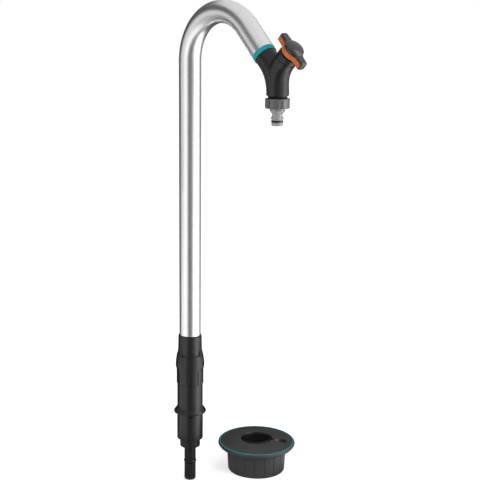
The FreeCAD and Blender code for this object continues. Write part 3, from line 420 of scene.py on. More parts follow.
# %% Plastic, rubber and metal materials
PLASTIC_RELIEF = 0.00006
METAL_RELIEF = 0.00003
STREAK_RELIEF = 0.00002
COAT_ROUGHNESS = 0.2
MIX_SHARE, MIX_LOW, MIX_HIGH, MIX_RESULT = 0, 6, 7, 2


def bump(tree, height, strength, distance):
    """Bump node that turns a height into a normal; distance is in metres."""
    node = tree.nodes.new("ShaderNodeBump")
    node.inputs["Strength"].default_value = strength
    node.inputs["Distance"].default_value = distance
    link(tree, height, node.inputs["Height"])
    return node.outputs["Normal"]


def start_material(name):
    """New material with its shader."""
    material = bpy.data.materials.new(name)
    material.use_nodes = True
    tree = material.node_tree
    shader = tree.nodes["Principled BSDF"]
    return material, tree, shader


def surface(tree, shader, group, values, strength, distance):
    """Gives a shader the roughness and the relief of a shader group; returns the group's node."""
    node = tree.nodes.new("ShaderNodeGroup")
    node.node_tree = group
    for title, value in values.items():
        node.inputs[title].default_value = value
    link(tree, node.outputs["Roughness"], shader.inputs["Roughness"])
    link(tree, bump(tree, node.outputs["Height"], strength, distance), shader.inputs["Normal"])
    return node


def plastic(name, colour, roughness, grain=1400.0, depth=0.25, specular=0.5, coat=0.0, tint=0.15):
    """Moulded plastic: a pigment that drifts by the tint, with a fine grain in its skin.

    The mixed colours are the colour x (1 - tint) and the colour x (1 + tint). The Mix node's
    sockets are reached by number, because its number and colour sockets share their names.
    """
    material, tree, shader = start_material(name)
    values = {"Grain Scale": grain, "Roughness": roughness}
    node = surface(tree, shader, GRAIN, values, depth, PLASTIC_RELIEF)
    mix = tree.nodes.new("ShaderNodeMix")
    mix.data_type = "RGBA"
    low = [channel * (1 - tint) for channel in colour]
    high = [min(1.0, channel * (1 + tint)) for channel in colour]
    mix.inputs[MIX_LOW].default_value = (*low, 1)
    mix.inputs[MIX_HIGH].default_value = (*high, 1)
    link(tree, node.outputs["Mottle"], mix.inputs[MIX_SHARE])
    link(tree, mix.outputs[MIX_RESULT], shader.inputs["Base Color"])
    shader.inputs["Specular IOR Level"].default_value = specular
    shader.inputs["Coat Weight"].default_value = coat
    shader.inputs["Coat Roughness"].default_value = COAT_ROUGHNESS
    return material


def metal(name, colour, group, values, strength, distance):
    """Metal of one colour whose sheen and relief come from a shader group."""
    material, tree, shader = start_material(name)
    surface(tree, shader, group, values, strength, distance)
    shader.inputs["Base Color"].default_value = (*colour, 1)
    shader.inputs["Metallic"].default_value = 1.0
    return material


BLACK = plastic("satin_black_plastic", (0.013, 0.013, 0.014), 0.3, specular=0.36)
COLLAR_BLACK = plastic(
    "collar_plastic", (0.045, 0.045, 0.047), 0.5, grain=900.0, depth=0.5, specular=0.3
)
TEAL = plastic("teal_plastic", (0.008, 0.27, 0.31), 0.35, depth=0.1, specular=0.25)
ORANGE = plastic("orange_plastic", (0.52, 0.11, 0.018), 0.38, depth=0.1)
CAP_GREY = plastic("knob_grey_plastic", (0.014, 0.014, 0.015), 0.27, depth=0.15, coat=0.3)
SILVER_GREY = plastic("connector_grey_plastic", (0.26, 0.26, 0.265), 0.24, depth=0.08, coat=0.6)
# The connector nut is the same grey plastic as the nose. It is a darker copy of that grey, which is
# painted shade.
CONNECTOR_GREY_PAINTED_SHADE = plastic("connector_grey_painted_shade", (0.085, 0.085, 0.088), 0.28, depth=0.08, coat=0.3)
SLIDER_GREY = plastic("slider_grey_plastic", (0.016, 0.016, 0.017), 0.45, specular=0.3)
MARK_RED = plastic("mark_red_plastic", (0.22, 0.065, 0.085), 0.45, depth=0.1)
PALE_PLASTIC = plastic("acetal_plastic", (0.74, 0.74, 0.71), 0.4)
RUBBER = plastic("seal_rubber", (0.008, 0.008, 0.008), 0.35, grain=2200.0, depth=0.2)
ALUMINIUM = metal(
    "anodised_aluminium", (0.80, 0.80, 0.81), DRAWN, {"Roughness": 0.33}, 0.1, STREAK_RELIEF
)
turned_steel = {"Grain Scale": 1800.0, "Roughness": 0.3}
STEEL = metal("screw_steel", (0.55, 0.55, 0.56), GRAIN, turned_steel, 0.3, METAL_RELIEF)
turned_brass = {"Grain Scale": 1500.0, "Roughness": 0.32}
BRASS = metal("stem_brass", (0.72, 0.52, 0.24), GRAIN, turned_brass, 0.3, METAL_RELIEF)
print("materials", len(bpy.data.materials))

# %% [markdown]
# ## Handing a piece over
# On the real tap each piece moves with the pieces that it is fixed to. Here that is said in one
# place: a new piece gets its finish, rides on the body that carries it, and hides the nodes of the
# CAD model that it stands for.

# %% Finish a piece


def finish_piece(piece, material, body, slot, *replaced):
    """Gives a piece its material and its body, and hides the CAD nodes it stands for. The slot is
    not used.
    """
    piece.data.materials.clear()
    piece.data.materials.append(material)
    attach(piece, body)
    if replaced:
        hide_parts(*replaced)
    print(piece.name, len(piece.data.polygons), "faces")


# %% [markdown]
# ## The bent tube
# The real tube is drawn aluminium, bent 135 degrees on a mandrel, with a short straight run down
# to the valve. A curve with a bevel would do for the outside, but not for the wall and the streaks.
# Its centreline is worked out as two lines and an arc in one plane, and a circle is carried along
# it: out along the outside, round the end, and back along the bore. A UV map holds the distance
# along and round, which the streaks follow.

# %% Riser tube
TUBE_RADIUS = 16.0
TUBE_BORE = 14.5
TUBE_FOOT = 96.3
INLET_END = 29.2
TRIM_RING_WIDTH = 6.6
RUN_TO_RING = SPOUT_RUN - (INLET_END + TRIM_RING_WIDTH)


def tube_centreline():
    """Centres along the tube and the outward direction of the bend's plane at each."""
    pole = np.linspace(TUBE_FOOT, BEND_START, 60)[:-1]
    turn = np.linspace(0, BEND_TURN, 91)
    run = np.linspace(0, RUN_TO_RING, 12)[1:]
    bend_reach = BEND_RADIUS * (1 - np.cos(turn))
    bend_height = BEND_START + BEND_RADIUS * np.sin(turn)
    centres = np.concatenate(
        [
            np.stack([0 * pole, 0 * pole, pole], -1),
            np.stack([bend_reach, 0 * turn, bend_height], -1),
            BEND_END + run[:, None] * SPOUT_WAY,
        ]
    )
    lean = np.concatenate([0 * pole, turn, 0 * run + BEND_TURN])
    return centres, across_bend(lean)


def along_and_round(point):
    """Distance along the tube's centreline and round its wall, for points in millimetres.

    On the pole the distance is the height. On the bend it is radius x angle, seen from the bend's
    centre, and past it the rest is measured along the spout. Round the wall it is the radius times
    the angle away from the inside of the bend.
    """
    from_centre = np.stack([BEND_RADIUS - point[:, 0], point[:, 2] - BEND_START], -1)
    turn = np.arctan2(from_centre[:, 1], from_centre[:, 0])
    past = (point - BEND_END) @ SPOUT_WAY
    spout_side = np.array([SPOUT_WAY[2], 0, -SPOUT_WAY[0]])
    on_pole = (point[:, 2] < BEND_START) & (point[:, 0] < BEND_RADIUS)
    on_spout = (past > 0) & (point[:, 0] > BEND_RADIUS)
    places = [on_pole, on_spout]
    bend_length = BEND_RADIUS * BEND_TURN
    along = np.select(
        places, [point[:, 2], BEND_START + bend_length + past], BEND_START + BEND_RADIUS * turn
    )
    inward = np.select(
        places,
        [point[:, 0], (point - BEND_END) @ spout_side],
        BEND_RADIUS - np.hypot(from_centre[:, 0], from_centre[:, 1]),
    )
    return along, np.abs(np.arctan2(point[:, 1], inward)) * TUBE_RADIUS


def points_of(mesh):
    """A mesh's points as rows of an array."""
    place = np.empty(len(mesh.vertices) * 3)
    mesh.vertices.foreach_get("co", place)
    return place.reshape(-1, 3)


def riser_tube():
    """Tube wall as one closed grid, with distance along and round as its UV map."""
    centres, side = tube_centreline()
    angles = even_angles(96)
    outside = swept(centres, side, TUBE_RADIUS, angles)
    inside = swept(centres, side, TUBE_BORE, angles)[::-1]
    made = skin("riser_tube_skin", np.concatenate([outside, inside]))
    mesh = made.data
    corner = np.empty(len(mesh.loops), int)
    mesh.loops.foreach_get("vertex_index", corner)
    along, around = along_and_round(points_of(mesh)[corner] / MM)
    uv = np.stack([along, around], -1) * MM
    layer = mesh.uv_layers.new(name="along_round")
    layer.data.foreach_set("uv", uv.ravel())
    return made


finish_piece(riser_tube(), ALUMINIUM, "standpipe", "tube_metal", "riser_tube")

# %% [markdown]
# ## Holes
# Small holes and slots that cross a wall can't be pressed into a turned surface, so they are cut
# with a Boolean, the way a drill would. The cutter is most often a round bar between two points,
# closed at both ends, and it is deleted after the cut.

# %% Cutting tools
CUTTER_COLUMNS = 32


def cut_away(piece, cutter):
    """Takes one mesh away from another and removes the cutter."""
    modifier = piece.modifiers.new("Cut", "BOOLEAN")
    modifier.operation = "DIFFERENCE"
    modifier.solver = "EXACT"
    modifier.object = cutter
    bake(piece)
    old = cutter.data
    bpy.data.objects.remove(cutter)
    bpy.data.meshes.remove(old)
    piece.data.set_sharp_from_angle(angle=SHARP_EDGE)


def bar(name, start, end, radius, count=CUTTER_COLUMNS):
    """Round bar between two points in millimetres, as a cutter.

    The circle's two directions are square to the bar and to each other, by cross products.
    """
    start, end = np.array(start, float), np.array(end, float)
    axis = (end - start) / np.linalg.norm(end - start)
    along_y = abs(axis[1]) >= 0.9
    helper = np.array([1.0, 0.0, 0.0]) if along_y else np.array([0.0, 1.0, 0.0])
    u = np.cross(axis, helper)
    u /= np.linalg.norm(u)
    v = np.cross(axis, u)
    angles = even_angles(count)[None, :, None]
    ring = radius * (np.cos(angles) * u + np.sin(angles) * v)
    ends = np.stack([start, end])[:, None]
    return skin(name, ends + ring, close_rows=False)


# %% [markdown]
# ## The foot
# The foot is turned: a barrel with a bell-shaped ring that sheds dirt, a stepped plug below it and
# a thin nose with its O-ring. Its real pieces are screwed into each other, so they stay separate
# here, each drawn in section with its moulded radii. The barrel's wall goes up the outside, over
# the neck that the nut screws on, and down the bore that holds the tube.

# %% Foot barrel
BARREL_RADIUS = 19.8
UPPER_BARREL_RADIUS = 19.5
BARREL_LOW = 68.0
BARREL_SHOULDER = 157.7
BARREL_TOP = 192.0
BARREL_NECK_RADIUS = 18.25
PLUG_SEAT_RADIUS = 17.25
TUBE_SEAT = 96.2
TUBE_SEAT_RADIUS = 16.05
BELL_LOW = 111.0
LOCK_HOLE_HEIGHT = 107.6
LOCK_HOLE_AZIMUTH = -35.5
LOCK_HOLE_RADIUS = 1.5


def foot_barrel():
    """Barrel wall with its neck under the nut and the small locking hole.

    The hole's cutter starts inside the bore and ends outside the wall.
    """
    outline = rounded(
        [
            (PLUG_SEAT_RADIUS, BARREL_LOW, 0.3),
            (BARREL_RADIUS, BARREL_LOW, 1.3),
            (BARREL_RADIUS, BELL_LOW, 0.05),
            (UPPER_BARREL_RADIUS, BELL_LOW, 0.05),
            (UPPER_BARREL_RADIUS, BARREL_SHOULDER, 0.6),
            (BARREL_NECK_RADIUS, BARREL_SHOULDER, 0.2),
            (BARREL_NECK_RADIUS, BARREL_TOP, 0.5),
            (PLUG_SEAT_RADIUS, BARREL_TOP, 0.2),
            (TUBE_SEAT_RADIUS, BARREL_TOP - 6.0, 0.5),
            (TUBE_SEAT_RADIUS, TUBE_SEAT, 0.1),
            (PLUG_SEAT_RADIUS, TUBE_SEAT, 0.1),
        ]
    )
    made = turned("foot_barrel_skin", refined(outline, 12.0), 128)
    out = outward(LOCK_HOLE_AZIMUTH)
    level = LOCK_HOLE_HEIGHT * UP
    cutter = bar("lock_hole_cutter", level + out * 16.9, level + out * 24, LOCK_HOLE_RADIUS)
    cut_away(made, cutter)
    return made


finish_piece(foot_barrel(), BLACK, "foot", "black_plastic", "foot_barrel")

# %% [markdown]
# The bell ring is a thin moulding pushed on to the barrel. Two straight lines would look like a
# washer, so its flare is a curve: the radius grows slowly at first while the height falls, as on
# a bell, and ends in a rounded edge.

# %% Bell ring
BELL_TOP = 120.5
BELL_RADIUS = 24.6
BELL_EDGE = 2.2


def bell_ring():
    """Ring with a hollow flare above and a rounded edge, flat underneath.

    The radius grows by 0.45 parts of a smooth step and 0.55 parts of a straight line, while the
    height falls with the share of the way out to the power 0.85.
    """
    share = np.linspace(0, 1, 14)
    flare = smooth_step(share) * 0.45 + share * 0.55
    radius = UPPER_BARREL_RADIUS + 0.3 + (BELL_RADIUS - 0.4 - UPPER_BARREL_RADIUS) * flare
    height = BELL_TOP - (BELL_TOP - BELL_LOW - BELL_EDGE) * share**0.85
    top = np.stack([radius, height], -1)
    edge = rounded(
        [
            (BELL_RADIUS - 0.1, BELL_LOW + 1.9, 0),
            (BELL_RADIUS, BELL_LOW + 1.3, 0.6),
            (BELL_RADIUS - 0.5, BELL_LOW, 0.7),
            (UPPER_BARREL_RADIUS, BELL_LOW, 0),
            (UPPER_BARREL_RADIUS, BELL_TOP, 0),
        ],
        close=False,
    )
    return turned("bell_ring_skin", np.concatenate([top, edge]), 128)


finish_piece(bell_ring(), BLACK, "foot", "black_plastic", "bell_ring")

# %% [markdown]
# The plug is one turned piece: the thin nose with a groove for its O-ring, a step under the
# barrel, and above it, hidden, a core that is screwed into the barrel and the spigot that seals
# inside the tube. They could be separate rings, but one section with a bore through it gives them
# all, with no gaps between.

# %% Plug
NOSE_RADIUS = 8.85
NOSE_GROOVE_RADIUS = 6.85
NOSE_GROOVE = (27.9, 32.3)
NOSE_BORE = 5.0
STEP_LOW = 55.0
STEP_RADIUS = 15.4
PLUG_CORE_TOP = 96.0
PLUG_CORE_RADIUS = 17.2
SPIGOT_RADIUS = 14.2
PLUG_TOP = 130.0
PLUG_BORE = 10.0


def plug_nose():
    """Stepped plug: nose with its ring groove, step, and the spigot inside the tube."""
    groove_low, groove_high = NOSE_GROOVE
    outline = rounded(
        [
            (NOSE_BORE, 0.0, 0.5),
            (NOSE_RADIUS, 0.0, 2.0),
            (NOSE_RADIUS, groove_low, 0.25),
            (NOSE_GROOVE_RADIUS, groove_low, 0.2),
            (NOSE_GROOVE_RADIUS, groove_high, 0.2),
            (NOSE_RADIUS, groove_high, 0.25),
            (NOSE_RADIUS, STEP_LOW, 0.8),
            (STEP_RADIUS, STEP_LOW, 1.2),
            (STEP_RADIUS, BARREL_LOW, 0.4),
            (PLUG_CORE_RADIUS, BARREL_LOW, 0.1),
            (PLUG_CORE_RADIUS, PLUG_CORE_TOP, 0.3),
            (SPIGOT_RADIUS, PLUG_CORE_TOP, 0.3),
            (SPIGOT_RADIUS, PLUG_TOP, 0.8),
            (PLUG_BORE, PLUG_TOP, 0.5),
            (PLUG_BORE, BARREL_LOW, 0.5),
            (NOSE_BORE, STEP_LOW, 0.5),
        ]
    )
    return turned("plug_nose_skin", refined(outline, 10.0), 112)


finish_piece(plug_nose(), BLACK, "foot", "black_plastic", "plug_nose")

# %% [markdown]
# ## The grip nut
# The nut is the foot's most sculpted piece: a slotted skirt, a bulge, and a slim neck round the
# tube, with five scoops for the fingers. Cutting the scoops would leave knife edges, so they are
# pressed in instead. Each scoop is a flat-bottomed channel: inside a rounded rectangle of height
# and arc length the radius falls to the channel's floor, and a smooth step over a millimetre
# softens its lip. The slots are narrow capsules pressed into the skirt in the same way.

# %% Scoops and slots
SCOOP_COUNT = 5
SCOOP_AZIMUTH = 0.5
SCOOP_FLOOR = 17.3
SCOOP_MIDDLE = 216.0
SLOT_COUNT = 8
SLOT_AZIMUTH = -5.0
SLOT_MIDDLE = 169.2
SLOT_TOP = 182.0
SLOT_DEPTH = 1.2
LINE_HEIGHT = 203.2
LINE_DEPTH = 0.4


def nearest_turn(turn, first, count):
    """Signed angle to the nearest of a ring of evenly spaced places."""
    pitch = 2 * np.pi / count
    return (turn - np.radians(first) + pitch / 2) % pitch - pitch / 2


def box_distance(across, along, half_width, half_length, corner):
    """Signed distance to a rectangle with round corners, negative inside."""
    x = np.abs(across) - half_width + corner
    y = np.abs(along) - half_length + corner
    outside = np.hypot(np.maximum(x, 0), np.maximum(y, 0))
    return outside + np.minimum(np.maximum(x, y), 0) - corner


def nut_shape(turn, radius, height):
    """Presses the scoops, the slots and the fine line into the nut's outside.

    A scoop takes the radius down to its floor, and a slot or the line takes off its depth, each
    times a smooth step of the distance inside its edge.
    """
    outer = radius > SCOOP_FLOOR + 0.05
    across = nearest_turn(turn, SCOOP_AZIMUTH, SCOOP_COUNT) * radius
    scoop = box_distance(across, height - SCOOP_MIDDLE, 4.9, 12.6, 2.6)
    deep = np.maximum(radius - SCOOP_FLOOR, 0) * smooth_step(-scoop / 0.9 + 0.35)
    across = nearest_turn(turn, SLOT_AZIMUTH, SLOT_COUNT) * radius
    capsule = box_distance(across, height - SLOT_MIDDLE, 1.15, 10.2, 1.14)
    slot = SLOT_DEPTH * smooth_step(-capsule / 0.5 + 0.4) * (height < SLOT_TOP)
    line = LINE_DEPTH * smooth_step(1 - np.abs(height - LINE_HEIGHT) / 0.45)
    return radius - outer * (deep + slot + line)


# %% [markdown]
# The bulge has no straight stretch, so its radii are read at thirteen heights, joined, and
# smoothed with a short row of weights. Rows are added where the fine line runs round it, so that
# a groove under a millimetre wide stays crisp.

# %% Grip nut
NUT_LOW_EDGE = 158.0
NUT_TOP_EDGE = 234.5
SKIRT_RADIUS = 20.5
NUT_BORE = 18.55
NUT_BORE_TOP = 197.0
TUBE_PASS = 16.3
BULGE = np.array(
    [
        (20.5, 176.5),
        (20.5, 180.4),
        (20.75, 181.6),
        (21.3, 183.0),
        (21.75, 184.6),
        (21.9, 186.4),
        (21.85, 189.0),
        (21.6, 192.5),
        (21.25, 196.0),
        (20.65, 200.0),
        (20.0, 203.5),
        (19.1, 206.8),
        (18.45, 209.3),
    ]
)
SMOOTHING = np.array([1, 6, 15, 20, 15, 6, 1]) / 64.0
OUTLINE_STEP = 0.8
BORE_ROWS = 8


def bulge_outline():
    """Smoothed bulge, with close rows round the fine line.

    Each radius becomes the weighted mean of seven neighbours, weighted as in a bell curve.
    """
    radius, height = BULGE.T
    fine = np.linspace(height[0], height[-1], 47)
    padded = np.pad(np.interp(fine, height, radius), len(SMOOTHING) // 2, mode="edge")
    smooth = np.convolve(padded, SMOOTHING, "valid")
    rows = np.sort(np.append(fine, LINE_HEIGHT + np.linspace(-0.6, 0.6, 9)))
    return np.stack([np.interp(rows, fine, smooth), rows], -1)


def grip_nut():
    """Nut outline with its bulge as a smooth curve, spun with scoops and slots.

    Where the bore is plain, only every few rows are kept.
    """
    below = rounded(
        [
            (NUT_BORE, NUT_LOW_EDGE, 0.0),
            (SKIRT_RADIUS, NUT_LOW_EDGE, 0.4),
            (SKIRT_RADIUS, 175.8, 0.0),
        ],
        close=False,
    )
    above = rounded(
        [
            (18.2, 211.4, 0.0),
            (17.6, 232.4, 0.8),
            (16.7, NUT_TOP_EDGE, 0.5),
            (TUBE_PASS, NUT_TOP_EDGE, 0.1),
            (TUBE_PASS, NUT_BORE_TOP, 0.2),
            (NUT_BORE, NUT_BORE_TOP, 0.2),
            (NUT_BORE, NUT_LOW_EDGE, 0.0),
        ],
        close=False,
    )
    below = refined(below, OUTLINE_STEP, False)
    above = refined(above, OUTLINE_STEP, False)[:-1]
    outline = np.concatenate([below, bulge_outline(), above])
    inner = (outline[:, 0] < NUT_BORE + 0.01) & (outline[:, 1] < NUT_BORE_TOP + 0.1)
    keep = ~inner | (np.arange(len(outline)) % BORE_ROWS == 0)
    return turned("grip_nut_skin", outline[keep], 480, shape=nut_shape)


finish_piece(grip_nut(), BLACK, "nut", "black_plastic", "grip_nut")

# %% [markdown]
# ## The Y-shaped valve body
# The housing is one moulding in which two round arms flow into the outlet leg. A Boolean union
# would meet in a hard seam, and the real moulding has a soft crease. So each arm is swept along
# its own bent centreline, the two are remeshed as one volume, and a few rounds of smoothing soften
# the seam. The bores and the arms' ends are cut afterwards, so their edges stay crisp.

# %% Valve arms
OUTLET_DROP = 29.8
OUTLET_END = NODE[2] - OUTLET_DROP
NECK_END = OUTLET_END - 12.5
STEM_END = 25.6
ARM_RADIUS = 15.1
STEM_ARM_RADIUS = 14.8
INLET_BEND = 56.0
STEM_BEND = 40.0
SPARE_LENGTH = 3


def elbow_grid(radius, bend_radius, tilt, length, low):
    """Arm from the outlet leg round a bend to a tilted arm, as rows of circles.

    The centreline runs up the leg, round an arc that touches both lines, and out along the arm.
    The leg's axis stands a little past the node, so each arm meets it in a corner of its own.
    """
    lean = np.radians(tilt)
    way = np.array([np.sin(lean), 0, np.cos(lean)])
    to_corner = OUTLET_OFFSET / way[0]
    corner = NODE + way * to_corner
    reach = bend_radius * np.tan(np.abs(lean) / 2)
    turn = np.linspace(0, lean, 40)
    arc_reach = np.sign(lean) * bend_radius * (1 - np.cos(turn))
    arc_height = bend_radius * np.sin(np.abs(turn)) - reach
    leg_height = np.linspace(low - corner[2], -reach, 10)[:-1]
    leg = np.stack([0 * leg_height, 0 * leg_height, leg_height], -1)
    arc = np.stack([arc_reach, 0 * turn, arc_height], -1)
    out = np.linspace(reach, length - to_corner, 10)[1:, None] * way
    centres = np.concatenate([leg, arc, out]) + corner
    angle = np.concatenate([0 * leg_height, turn, np.full(len(out), lean)])
    return swept(centres, across_bend(angle), radius, even_angles(96))


def arm(name, radius, bend_radius, tilt, end):
    """One arm with the outlet leg, a little longer than needed at both ends."""
    grid = elbow_grid(radius, bend_radius, tilt, end + SPARE_LENGTH, OUTLET_END - SPARE_LENGTH)
    return skin(name, grid, close_rows=False)


# %% [markdown]
# The two arms overlap in the outlet leg. Remeshed as one volume they lose the walls inside, and
# voxels of three quarters of a millimetre are fine enough for the crease. The bores are those of
# the real housing: one for the headpiece, one for the inlet and one down the outlet leg.

# %% Valve body
VOXEL = 0.75 * MM
SOFTENING = 0.5
SOFT_ROUNDS = 14
HEADPIECE_BORE = 11.0
INLET_BORE = 9.0
OUTLET_BORE = 8.0
PAST_END = 60
INLET_WAY = -SPOUT_WAY
STEM_WAY = np.array([-SPOUT_WAY[2], 0, SPOUT_WAY[0]])
OUTLET = NODE + np.array([OUTLET_OFFSET, 0, 0])
WIDER_THAN_ARMS = 30.0


def joined(name, pieces):
    """Joins meshes into one object; each one's faces count on from the points before it."""
    merged_points, merged_faces, base = [], [], 0
    for piece in pieces:
        mesh = piece.data
        mesh.calc_loop_triangles()
        corner = np.empty(len(mesh.loop_triangles) * 3, int)
        mesh.loop_triangles.foreach_get("vertices", corner)
        merged_points.append(points_of(mesh))
        merged_faces.append(corner.reshape(-1, 3) + base)
        base += len(mesh.vertices)
        bpy.data.objects.remove(piece)
    return make_object(name, np.concatenate(merged_points), np.concatenate(merged_faces))


def valve_body():
    """Two swept arms merged, softened, trimmed at their ends and bored."""
    inlet = arm("inlet_arm", ARM_RADIUS, INLET_BEND, INLET_TILT, INLET_END)
    stem = arm("stem_arm", STEM_ARM_RADIUS, STEM_BEND, STEM_TILT, STEM_END)
    body = joined("valve_body_skin", [inlet, stem])
    remesh = body.modifiers.new("Merge", "REMESH")
    remesh.mode = "VOXEL"
    remesh.voxel_size = VOXEL
    soften = body.modifiers.new("Soften", "SMOOTH")
    soften.factor = SOFTENING
    soften.iterations = SOFT_ROUNDS
    bake(body)
    cuts = [
        (OUTLET - UP * OUTLET_DROP, OUTLET - UP * PAST_END, WIDER_THAN_ARMS),
        (NODE + INLET_WAY * INLET_END, NODE + INLET_WAY * PAST_END, WIDER_THAN_ARMS),
        (NODE + STEM_WAY * STEM_END, NODE + STEM_WAY * 45, WIDER_THAN_ARMS),
        (NODE - STEM_WAY * 13, NODE + STEM_WAY * 40, HEADPIECE_BORE),
        (NODE + INLET_WAY * 2, NODE + INLET_WAY * PAST_END, INLET_BORE),
        (OUTLET - UP * 2, OUTLET - UP * PAST_END, OUTLET_BORE),
    ]
    for number, (start, end, radius) in enumerate(cuts):
        cut_away(body, bar(f"valve_cutter_{number}", start, end, radius, 64))
    return body


finish_piece(valve_body(), BLACK, "standpipe", "black_plastic", "valve_body")

# %% [markdown]
# ## Threaded neck and hidden spigot
# Below the leg a short threaded neck shows above the connector. A stack of rings would pass for a
# thread from afar, but a real one climbs, and this helix costs no more: the radius follows a
# cosine wave of height / pitch minus the share of a turn. The spigot leads from the inlet arm
# into the tube's end and carries its seals.

# %% Outlet neck and inlet spigot
THREAD_PITCH = 1.814
THREAD_DEPTH = 0.75
NECK_RADIUS = 13.2
OVERLAP = 2.0
INLET_SPIGOT_LENGTH = 30.0


def thread_shape(turn, radius, height):
    """Rounded helical thread on the outside of the neck, fading out under the leg."""
    phase = ((height / THREAD_PITCH) - turn / (2 * np.pi)) % 1.0
    tooth = 0.5 - 0.5 * np.cos(2 * np.pi * phase)
    fade = smooth_step((OUTLET_END - 0.4 - height) / 0.8) * smooth_step((height - NECK_END) / 0.8)
    return radius - THREAD_DEPTH * (1 - tooth) * fade * (radius > NECK_RADIUS - 0.3)


def outlet_neck():
    """Neck below the outlet leg, with its thread and bore."""
    outline = rounded(
        [
            (OUTLET_BORE, OUTLET_END + OVERLAP, 0.1),
            (OUTLET_BORE, NECK_END, 0.4),
            (NECK_RADIUS, NECK_END, 0.5),
            (NECK_RADIUS, OUTLET_END + OVERLAP, 0.1),
        ]
    )
    return turned("outlet_neck_skin", refined(outline, 0.3), 96, at_outlet, thread_shape)


def inlet_spigot():
    """Spigot inside the tube's end."""
    outline = rounded(
        [
            (INLET_BORE, INLET_END - OVERLAP, 0.1),
            (SPIGOT_RADIUS, INLET_END - OVERLAP, 0.1),
            (SPIGOT_RADIUS, INLET_END + INLET_SPIGOT_LENGTH, 0.8),
            (INLET_BORE, INLET_END + INLET_SPIGOT_LENGTH, 0.3),
        ]
    )
    return turned("inlet_spigot_skin", outline, 64, on_inlet)


finish_piece(outlet_neck(), BLACK, "standpipe", "black_plastic")
finish_piece(inlet_spigot(), BLACK, "standpipe", "black_plastic")

# %% [markdown]
# ## Trim ring and bonnet
# A coloured ring hides the joint between tube and housing. The bonnet is the headpiece that guides
# the stem, and a dark groove shows where it seats on the arm. Both are plain turned pieces, so
# their sections are drawn and spun, and leaned over with the arm that they sit on.

# %% Trim ring and bonnet
BONNET_HEIGHT = 8.7
BONNET_BORE = 5.05


def trim_ring():
    """Coloured ring at the tube's end, a touch prouder than the tube."""
    outline = rounded(
        [
            (SPIGOT_RADIUS, INLET_END, 0.1),
            (TUBE_RADIUS + 0.25, INLET_END, 0.5),
            (TUBE_RADIUS + 0.25, INLET_END + TRIM_RING_WIDTH, 0.5),
            (SPIGOT_RADIUS, INLET_END + TRIM_RING_WIDTH, 0.1),
        ]
    )
    return turned("trim_ring_skin", outline, 112, on_inlet)


def bonnet_ring():
    """Headpiece with its spigot, groove and rounded shoulder."""
    base = STEM_END
    top = base + BONNET_HEIGHT
    outline = rounded(
        [
            (BONNET_BORE, base - 9.0, 0.2),
            (10.95, base - 9.0, 0.4),
            (10.95, base, 0.1),
            (STEM_ARM_RADIUS - 0.8, base, 0.2),
            (STEM_ARM_RADIUS, base + 0.8, 0.4),
            (STEM_ARM_RADIUS, top, 1.1),
            (9.2, top, 0.4),
            (8.4, top - 1.0, 0.3),
            (BONNET_BORE, top - 1.0, 0.2),
        ]
    )
    return turned("bonnet_ring_skin", outline, 112, on_stem)


finish_piece(trim_ring(), TEAL, "standpipe", "teal_plastic", "trim_ring")
finish_piece(bonnet_ring(), BLACK, "standpipe", "black_plastic", "bonnet_ring")

# %% [markdown]
# ## The two-winged knob
# Seen along its stem the knob is a round boss with two tapered wings. It could be drawn as lines
# and arcs, but every layer would need its own drawing. In polar form one formula does: at each
# angle the radius is the larger of the boss and the wing, joined by a smooth maximum so that the
# waist is rounded. Every layer of the knob is that outline, shrunk by an inset and lifted to a
# height, so a stack of insets and heights is a complete moulding.

# %% Knob outline
BOSS_RADIUS = 13.9
HALF_SPAN = 28.0
ROOT_HALF_WIDTH = 7.5
TIP_HALF_WIDTH = 5.6
TIP_CORNER = 3.0
WAIST_SHARPNESS = 0.55
PURE_WING = 0.35


def knob_outline(angles, inset):
    """Radius of the knob at each angle: a smooth maximum of boss and tapered blunt wing.

    The wing's half width falls evenly from root to tip and ends in a quarter circle. The smooth
    maximum of a and b is log(exp(s a) + exp(s b)) / s. Near a wing's axis the wing alone counts.
    """
    end = HALF_SPAN - inset
    tip = TIP_HALF_WIDTH - inset
    root = ROOT_HALF_WIDTH - inset
    corner = TIP_CORNER - inset
    reach = np.linspace(0, end, 1400)
    past = np.maximum(reach - end + corner, 0)
    half_width = root + (tip - root) * reach / end - corner
    half_width += np.sqrt(np.maximum(corner**2 - past**2, 0))
    along = np.arctan2(half_width, reach)
    span = np.hypot(half_width, reach)
    order = np.argsort(along)
    lean = np.abs((angles + np.pi / 2) % np.pi - np.pi / 2)
    wing = np.interp(lean, along[order], span[order])
    wing = np.where(lean < along[order][0], end / np.cos(lean), wing)
    wing = np.where(lean < along[order][-1], wing, 0)
    boss = BOSS_RADIUS - inset
    top = np.maximum(wing, boss)
    shares = np.exp(WAIST_SHARPNESS * (wing - top)) + np.exp(WAIST_SHARPNESS * (boss - top))
    limit = np.where(lean < PURE_WING, 0, 1)
    return top + np.log(shares) / WAIST_SHARPNESS * limit


def knob_stack(name, layers, count=480):
    """Closed knob-shaped moulding from (inset, height) layers, ending on its axis at both ends."""
    angles = even_angles(count)
    rows = np.stack([knob_outline(angles, inset) for inset, _ in layers])
    heights = np.repeat(np.array([height for _, height in layers])[:, None], count, 1)
    points = np.stack([rows * np.cos(angles), rows * np.sin(angles), heights], -1)
    return skin(name, on_stem(points), close_rows=False)


# %% [markdown]
# The knob's dark underside ends in a thin flange, with a narrower core above it that the coloured
# inlays lie against. Flange and core are one moulding, so they are one stack: the outline steps
# out to the flange's edge, up it, and in to the core.

# %% Knob base
KNOB_LOW = 34.9
FLANGE_TOP = KNOB_LOW + 1.3
CORE_INSET = 1.85


def knob_base():
    """Dark underside and core of the knob."""
    layers = [
        (2.0, KNOB_LOW + 0.05),
        (1.2, KNOB_LOW),
        (0.9, KNOB_LOW + 0.2),
        (0.7, KNOB_LOW + 0.5),
        (0.7, KNOB_LOW + 1.25),
        (CORE_INSET, FLANGE_TOP),
        (CORE_INSET, KNOB_LOW + 7.6),
    ]
    return knob_stack("knob_base_skin", layers)


